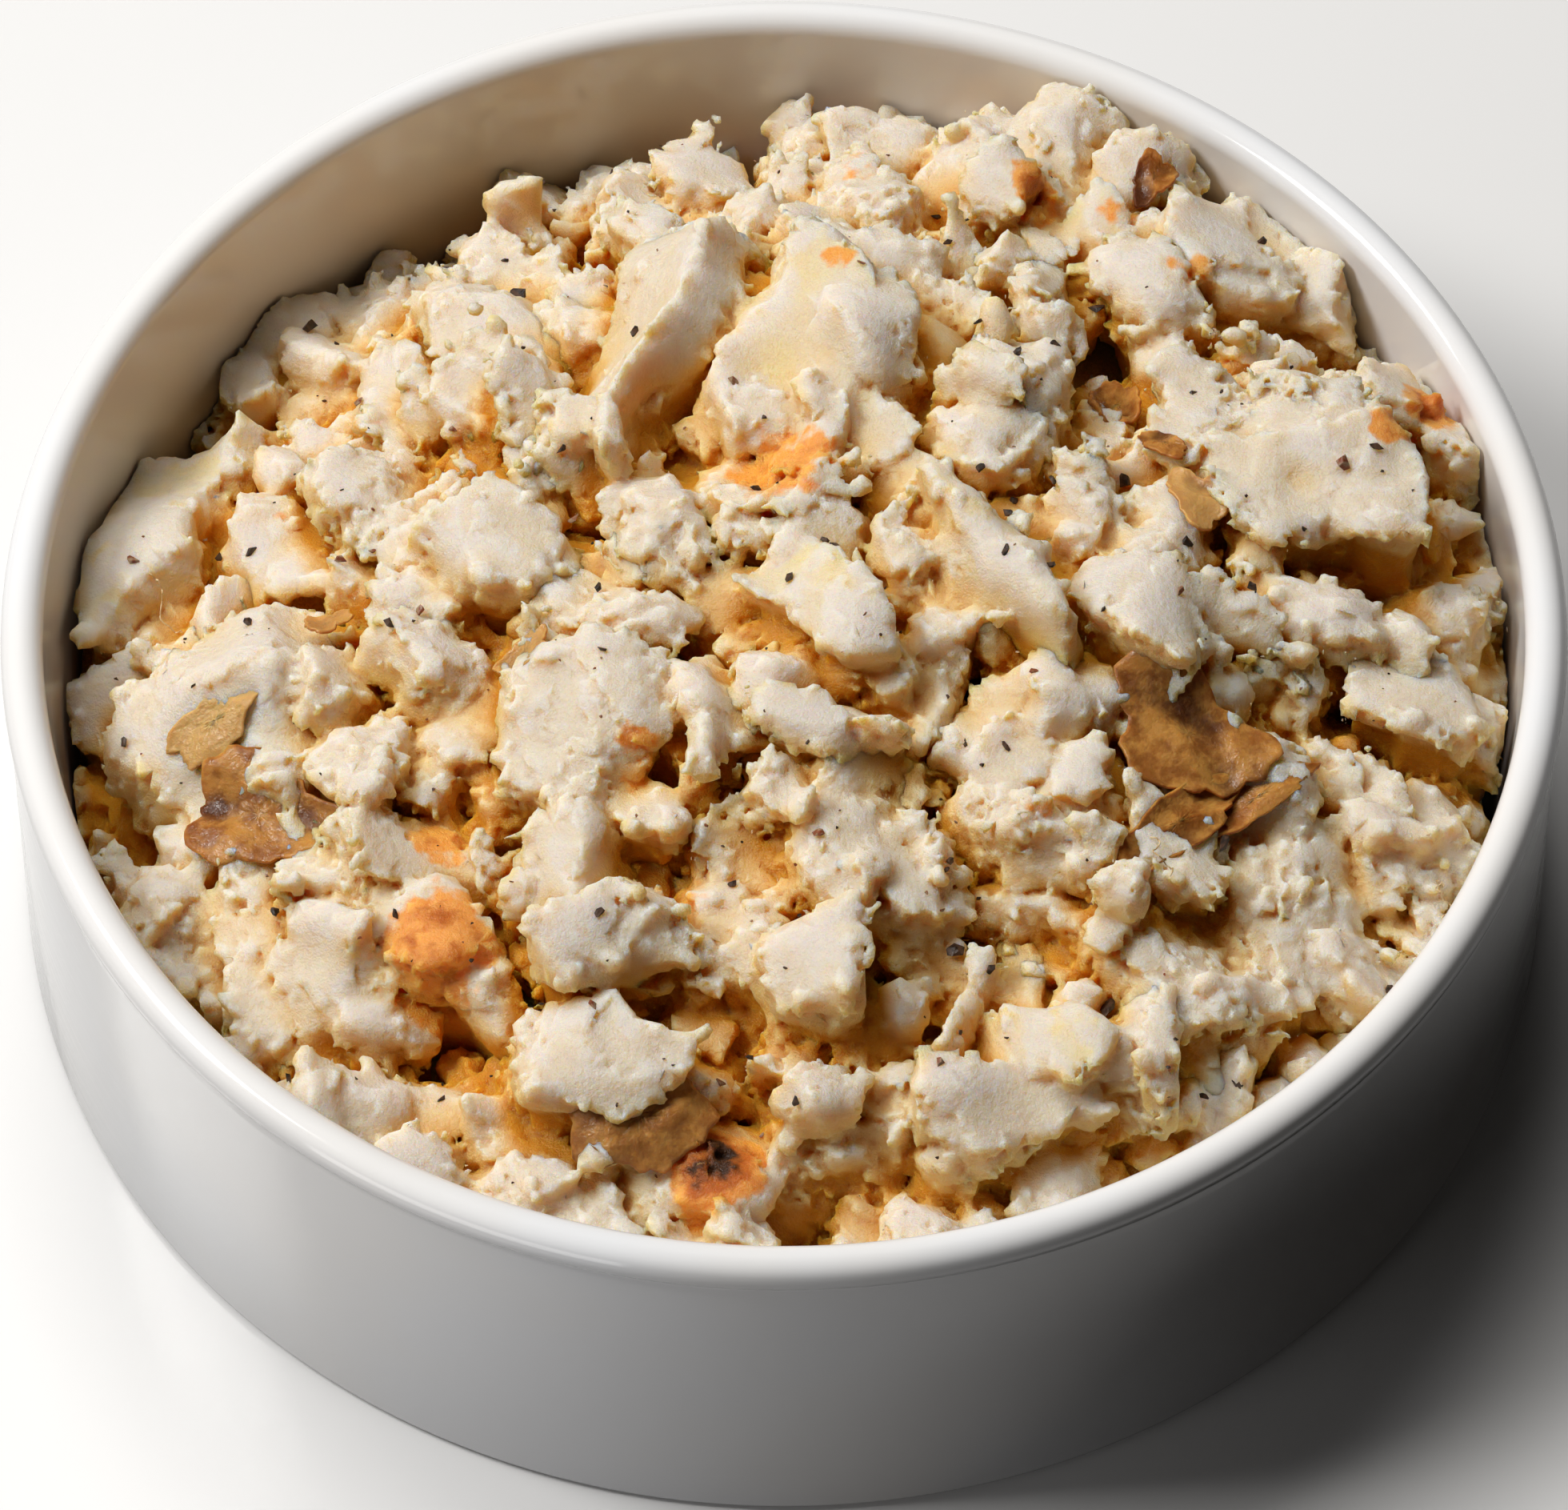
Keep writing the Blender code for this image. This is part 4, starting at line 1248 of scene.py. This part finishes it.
def leaf(name, x, y, length, width, yaw, lift, lean, curl, corners, dark, seed):
    """A limp leaf of skin, in millimetres and degrees. It leans along its length, and curls up
    at its edge; corners says how pointed its outline is, and dark how deep its brown is."""
    draw = np.random.default_rng(seed)
    angle = math.tau * np.arange(LEAF_SECTORS) / LEAF_SECTORS
    phase = draw.uniform(0, math.tau, 6)
    outline = 1 + 0.17 * np.cos(corners * angle + phase[0]) + 0.07 * np.cos(5 * angle + phase[1])
    outline += 0.035 * np.cos(11 * angle + phase[2]) + 0.03 * np.cos(17 * angle + phase[3])
    ring = np.linspace(0, 1, LEAF_RINGS)[:, None]
    along = (ring * outline * np.cos(angle)).ravel() * length / 2
    across = (ring * outline * np.sin(angle)).ravel() * width / 2
    edge = np.repeat(ring.ravel(), LEAF_SECTORS)
    cos, sin = math.cos(math.radians(yaw)), math.sin(math.radians(yaw))
    px, py = x + along * cos - across * sin, y + along * sin + across * cos
    fold = np.zeros(len(px))
    for step in range(4):
        way, wavelength = draw.uniform(-0.6, 0.6), draw.uniform(2.2, 6.0)
        waves = (across * math.cos(way) + along * math.sin(way)) / wavelength * math.tau
        bend = 1.2 * np.sin(along / length * 4 + phase[step])
        wave = np.sin(waves / 2 + bend + phase[step])
        fold += (1 - 2 * np.abs(wave) if step == 0 else wave) / 3
    under = map_at(wide_top, px * MM, py * MM) + map_at(near_top, px * MM, py * MM)
    under = under / 2 / MM
    middle = float(map_at(wide_top, np.array([x * MM]), np.array([y * MM]))[0]) / MM
    level = 0.8 * under + 0.2 * middle
    curled = curl * edge ** 3 * (0.6 + 0.4 * np.tile(np.cos(2 * angle + phase[4]), LEAF_RINGS))
    pz = level + lift + lean * along / length + curled + FOLD_DEPTH / MM * fold
    faces = []
    for i in range(LEAF_RINGS - 1):
        for j in range(LEAF_SECTORS):
            k = (j + 1) % LEAF_SECTORS
            faces.append([i * LEAF_SECTORS + j, (i + 1) * LEAF_SECTORS + j,
                          (i + 1) * LEAF_SECTORS + k, i * LEAF_SECTORS + k])
    obj = new_piece(name, (np.stack([px, py, pz], 1) * MM).tolist(), faces)
    store(obj.data, "fold", fold)
    store(obj.data, "dark", np.full(len(px), dark))
    bm = bmesh.new()
    bm.from_mesh(obj.data)
    bmesh.ops.remove_doubles(bm, verts=bm.verts, dist=0.001 * MM)
    bm.to_mesh(obj.data)
    bm.free()
    thick = obj.modifiers.new("Thickness", "SOLIDIFY")
    thick.thickness = SKIN_THICKNESS
    thick.offset = 0.0
    settle(obj)
    obj.data.shade_smooth()
    return obj


SKIN_PALE = (0.62, 0.37, 0.13)
SKIN_TAN = (0.48, 0.225, 0.050)
SKIN_BROWN = (0.26, 0.090, 0.015)
# the skin's own dark brown, and also painted shade in its folds
SKIN_DARK_AND_FOLD_SHADE = (0.070, 0.020, 0.007)


def skin_material():
    """Boiled skin: tan where it is thin, brown in patches, and dark in its folds, which is painted
    shade.
    """
    made, tree, shader = new_material("boiled_skin")
    mottled = noise(tree, 420, 5, 0.6)
    colour = mix(tree, ramp(tree, mottled, 0.38, 0.62), SKIN_TAN, SKIN_BROWN)
    colour = mix(tree, ramp(tree, attribute(tree, "dark"), 0.0, 0.4, 0.8, 0.0), colour, SKIN_PALE)
    # darker where a leaf is browner and in the mottling, its own colour, and painted shade in the
    # valleys of its folds
    depth = maths(tree, "MULTIPLY", attribute(tree, "dark"), 1.5)
    dark_and_fold_shade = maths(tree, "SUBTRACT", depth, attribute(tree, "fold"))
    dark_and_fold_shade = maths(tree, "ADD", dark_and_fold_shade, centred(tree, mottled, 1.5))
    colour = mix(tree, ramp(tree, dark_and_fold_shade, 0.5, 2.1, 0.0, 0.95), colour, SKIN_DARK_AND_FOLD_SHADE)
    tree.links.new(colour, shader.inputs["Base Color"])
    shine = ramp(tree, noise(tree, 1500, 2), 0.35, 0.65, 0.28, 0.55)
    tree.links.new(shine, shader.inputs["Roughness"])
    shader.inputs["Subsurface Weight"].default_value = 0.7
    shader.inputs["Subsurface Radius"].default_value = (1.0, 0.45, 0.15)
    shader.inputs["Subsurface Scale"].default_value = 0.0012
    shader.inputs["IOR"].default_value = 1.42
    heights = ((noise(tree, 700, 3), 0.00022), (noise(tree, 3500, 2), 0.00007))
    tree.links.new(bump(tree, heights), shader.inputs["Normal"])
    return made


SKINS = (      # the node, then x, y, length, width, yaw, lift, lean, curl, corners, dark, seed
    ("skin_left", -46.5, -18.5, 14, 9.5, -28, 0.2, -2.0, 0.2, 3, 0.40, 41),
    ("skin_right_upper", 35.5, -16, 15, 10.5, -35, 0.9, 0.8, 0.3, 3, 0.35, 42),
    ("skin_right_lower", 34.5, -25, 17, 4.6, 42, 0.6, 0.4, 0.5, 2, 0.45, 43),
    ("skin_front", -12.5, -51.5, 11, 9.5, 20, 0.8, 0.5, -0.8, 2, 0.30, 44),
    ("skin_back", 34, 48.0, 5.0, 3.8, 65, 2.0, 1.6, 0.3, 3, 0.45, 45),
    ("skin_left", -50.5, -10, 9.0, 5.0, 30, 0.9, 0.4, 0.1, 3, 0.05, 46),
    ("skin_right_lower", 41.5, -21.5, 12, 3.6, 28, 1.0, 0.8, 0.4, 2, 0.40, 47),
    ("skin_right_upper", 37, 8, 7.0, 5.0, -60, 1.0, 0.6, 0.3, 3, 0.10, 48),
    ("skin_right_upper", 34, 14, 5.5, 2.4, -35, 1.2, 0.3, 0.3, 2, 0.40, 49),
    ("skin_left", -23, -8, 5.0, 3.4, 40, 1.2, 0.3, 0.3, 3, 0.15, 50),
    ("skin_left", -41, 0, 4.2, 3.0, 10, 1.2, 0.3, 0.3, 3, 0.20, 51),
    ("skin_right_upper", 30, 22, 6.5, 4.2, 75, 0.3, 0.5, 0.3, 2, 0.45, 52),
)
skin_look = skin_material()
skins = []
for number, (node, *shape) in enumerate(SKINS):
    piece = leaf(f"leaf_{number}_{node}", *shape)
    piece.data.materials.append(skin_look)
    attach(piece, "root")
    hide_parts(node)
    skins.append(piece)
print("skin triangles:", sum(len(triangles_of(piece.data)) for piece in skins))

# %% [markdown]
# ## Pepper, flecks and fibres
#
# Cracked pepper is angular: each fleck is the hull of a few random points. They lie on the
# highest potato under them. The big ones have the places where they catch the eye, and a
# peppering of tiny ones is thrown over the rest. All of one colour are joined into one piece.

# %% Flecks
PEPPER = (                     # x, y and size in millimetres
    (-16, 58, 1.2), (-24.5, 39.5, 2.0), (-26, 45, 1.0), (-31.5, 45, 1.0), (-44, 41, 2.0),
    (-41.5, 39, 1.1), (-13.5, 26, 1.2), (-48.5, 11.5, 1.9), (-51.5, 13, 1.1), (-16.5, -1, 1.2),
    (-48, 1, 1.1), (-35, -4, 1.2), (-16, -10, 1.1), (-2.5, 7.5, 1.1), (0.5, -3.5, 1.3),
    (-20, 12, 1.2), (28.5, 34.5, 2.0), (15, 39.5, 1.2), (44, 42.5, 1.2), (17.5, 26, 1.1),
    (21, 22.5, 1.4), (24.5, 23.5, 1.1), (37, 20, 1.2), (30.5, 11.5, 1.4), (24, 9, 1.2),
    (17.5, 9.5, 1.1), (53, 12, 1.4), (20.5, 8.5, 1.1), (19.8, 4, 1.2), (19.5, -2.5, 1.1),
    (23.5, -3.5, 1.1), (41.5, -2, 1.3), (28, -7, 1.2), (14, 46.5, 1.2), (4.5, 1, 1.3),
    (3.6, 0.2, 0.9), (36, 3, 1.3), (16, -17.5, 1.2), (19.5, -18.5, 1.1), (45, -13, 1.3),
    (-34, -31.5, 1.2), (-45, -28, 1.2), (-43.5, -43, 1.2), (-4.5, -30, 1.2), (-7.5, -50, 1.4),
    (1, -52, 1.2), (-3, -46, 1.2), (-16, -36, 1.1), (-59, -9, 1.3), (-30, -46, 1.2),
    (15, -36, 1.9), (28, -41, 1.9), (18, -38, 1.1), (38.5, -26, 1.8), (14.5, -29.5, 1.2),
    (53, -37, 1.3), (39.5, -47, 1.3), (36.5, -48.5, 1.1), (42, -22, 1.1),
)
PALE_FLECKS = (                # the same, of grey or red-brown bits
    (-4.5, 19.5, 1.4), (-40, 7, 1.4), (-59, 11, 1.4), (50, 10.5, 1.5), (-16.5, -43, 1.5),
    (13.5, -48.5, 1.5), (-39, 28, 1.1), (-37, 7.5, 1.2), (-32.5, -1.5, 1.2), (-19, 8, 1.3),
    (35, -4.5, 1.2), (-5.5, -48, 1.3), (3, -28, 1.3), (7, 30, 1.0), (22, -12, 0.9), (-30, 20, 0.9),
)
TINY_PEPPER = 110
TINY_HUSKS = 50
TINY_SIZES = (0.25, 0.6)
HEAP_RADIUS = 61               # in millimetres, as the tables are
FLECK_POINTS = 11
FLECK_REACH = 0.62             # of a fleck's size, since its random points rarely lie opposite


def flecks(name, rows, seed):
    """Angular flecks of different sizes, pressed a little into the potato, as one piece."""
    rng = random.Random(seed)
    bm = bmesh.new()
    for x, y, size in rows:
        spread_out = Vector((rng.uniform(0.7, 1.0), rng.uniform(0.45, 0.8), rng.uniform(0.3, 0.5)))
        tilt = turned(rng.uniform(0, 360), rng.uniform(-35, 35), rng.uniform(-35, 35))
        z = float(map_at(crown, np.array([x * MM]), np.array([y * MM]))[0])
        middle = Vector((x * MM, y * MM, z + 0.06 * size * MM))
        verts = []
        for _ in range(FLECK_POINTS):
            way = Vector((rng.gauss(0, 1), rng.gauss(0, 1), rng.gauss(0, 1))).normalized()
            point = Vector(a * b for a, b in zip(way, spread_out)) * size * MM * FLECK_REACH
            verts.append(bm.verts.new(middle + tilt @ point))
        made = bmesh.ops.convex_hull(bm, input=verts)
        inner = [g for g in made["geom_interior"] if isinstance(g, bmesh.types.BMVert)]
        bmesh.ops.delete(bm, geom=inner, context="VERTS")
    return piece_from(bm, name)


def tiny_places(count, seed):
    """Random rows for flecks(), all over the heap."""
    rng = random.Random(seed)
    places = []
    while len(places) < count:
        x = rng.uniform(-HEAP_RADIUS - 1, HEAP_RADIUS + 1)
        y = rng.uniform(-HEAP_RADIUS - 1, HEAP_RADIUS + 1)
        if math.hypot(x, y) < HEAP_RADIUS:
            places.append((x, y, rng.uniform(*TINY_SIZES)))
    return tuple(places)


crown = over_window(heap_top, int(0.4 * MM / VOXEL), np.maximum)


def fleck_material(name, dark, light):
    """A dry, broken grain that runs from one colour to another."""
    made, tree, shader = new_material(name)
    colour = mix(tree, ramp(tree, noise(tree, 1800, 3), 0.4, 0.62), dark, light)
    tree.links.new(colour, shader.inputs["Base Color"])
    shine = ramp(tree, noise(tree, 900, 2), 0.3, 0.7, 0.35, 0.7)
    tree.links.new(shine, shader.inputs["Roughness"])
    tree.links.new(bump(tree, ((noise(tree, 3000, 3), 0.0001),)), shader.inputs["Normal"])
    return made


pepper = flecks("cracked_pepper", PEPPER + tiny_places(TINY_PEPPER, 61), 62)
pepper.data.materials.append(fleck_material("pepper", (0.016, 0.009, 0.006), (0.070, 0.034, 0.018)))
husks = flecks("husk_flecks", PALE_FLECKS + tiny_places(TINY_HUSKS, 63), 64)
husks.data.materials.append(fleck_material("husk", (0.20, 0.045, 0.015), (0.30, 0.20, 0.12)))
for piece in (pepper, husks):
    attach(piece, "root")
    print(piece.name, "triangles:", len(triangles_of(piece.data)))

# %% Fibres
FIBRE_RADIUS = 0.07 * MM
FIBRES = (                     # x and y of both ends, and how far the middle stands up, in mm
    (32.0, -27.0, 33.5, -31.5, 1.2), (57.5, -26.0, 58.5, -29.0, 0.8),
    (-57.5, 9.5, -55.0, 5.0, 0.9),
)


def fibre(bm, x0, y0, x1, y1, rise, rng):
    """A thin curled fibre, as a tube of six sides."""
    steps, sides = 22, 6
    start = Vector((x0, y0, 0)) * MM
    way = Vector((x1 - x0, y1 - y0, 0)) * MM
    across = Vector((-way.y, way.x, 0)).normalized()
    curls = rng.uniform(1.2, 2.0)
    path = []
    for i in range(steps + 1):
        t = i / steps
        place = start + way * t + across * 0.6 * MM * math.sin(t * math.tau * curls)
        z = float(map_at(crown, np.array([place.x]), np.array([place.y]))[0])
        place.z = z + (0.1 + rise * math.sin(math.pi * t)) * MM * 0.8
        path.append(place)
    rings = []
    for i, place in enumerate(path):
        run = (path[min(i + 1, steps)] - path[max(i - 1, 0)]).normalized()
        side = run.cross(Vector((0, 0, 1))).normalized()
        up = side.cross(run)
        ring = []
        for j in range(sides):
            turn = math.tau * j / sides
            out = (side * math.cos(turn) + up * math.sin(turn)) * FIBRE_RADIUS
            ring.append(bm.verts.new(place + out))
        rings.append(ring)
    for a, b in zip(rings, rings[1:]):
        for j in range(sides):
            k = (j + 1) % sides
            bm.faces.new((a[j], a[k], b[k], b[j]))
    bm.faces.new(rings[0][::-1])
    bm.faces.new(rings[-1])


rng = random.Random(71)
bm = bmesh.new()
for row in FIBRES:
    fibre(bm, *row, rng)
fibres = piece_from(bm, "fibres")
fibres.data.materials.append(fleck_material("fibre", (0.55, 0.36, 0.16), (0.75, 0.60, 0.38)))
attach(fibres, "root")
print("fibre triangles:", len(triangles_of(fibres.data)))

# %% [markdown]
# ## The core
#
# Under the crust the heap is plain, closed potato that nobody sees. It could be left out, but
# then light would leak through the crevices from below. A sunk copy of the smooth heap, as a
# coarse grid pulled down to the floor of the bowl, is enough.

# %% Core
CORE_GRID = 40
CORE_GAP = 6 * MM              # to the outside of the bowl
CORE_SINK = 12 * MM            # under the smooth heap


def build_core():
    """A sunk copy of the smooth heap, down to the floor of the bowl."""
    bm = bmesh.new()
    bmesh.ops.create_grid(bm, x_segments=CORE_GRID, y_segments=CORE_GRID, size=BOWL_RADIUS)
    outer = [v for v in bm.verts if v.co.xy.length > BOWL_RADIUS - CORE_GAP]
    bmesh.ops.delete(bm, geom=outer, context="VERTS")
    for v in bm.verts:
        v.co.z = float(heap_height(v.co.x, v.co.y)) - CORE_SINK
    top = list(bm.faces)
    made = bmesh.ops.extrude_face_region(bm, geom=top, use_keep_orig=True)
    for item in made["geom"]:
        if isinstance(item, bmesh.types.BMVert):
            item.co.z = FLOOR_TOP + 0.3 * MM
    bmesh.ops.recalc_face_normals(bm, faces=bm.faces)
    return piece_from(bm, "mash_core")


core = build_core()
core.data.materials.append(potato)
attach(core, "root")
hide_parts("mash")
print("core triangles:", len(triangles_of(core.data)))
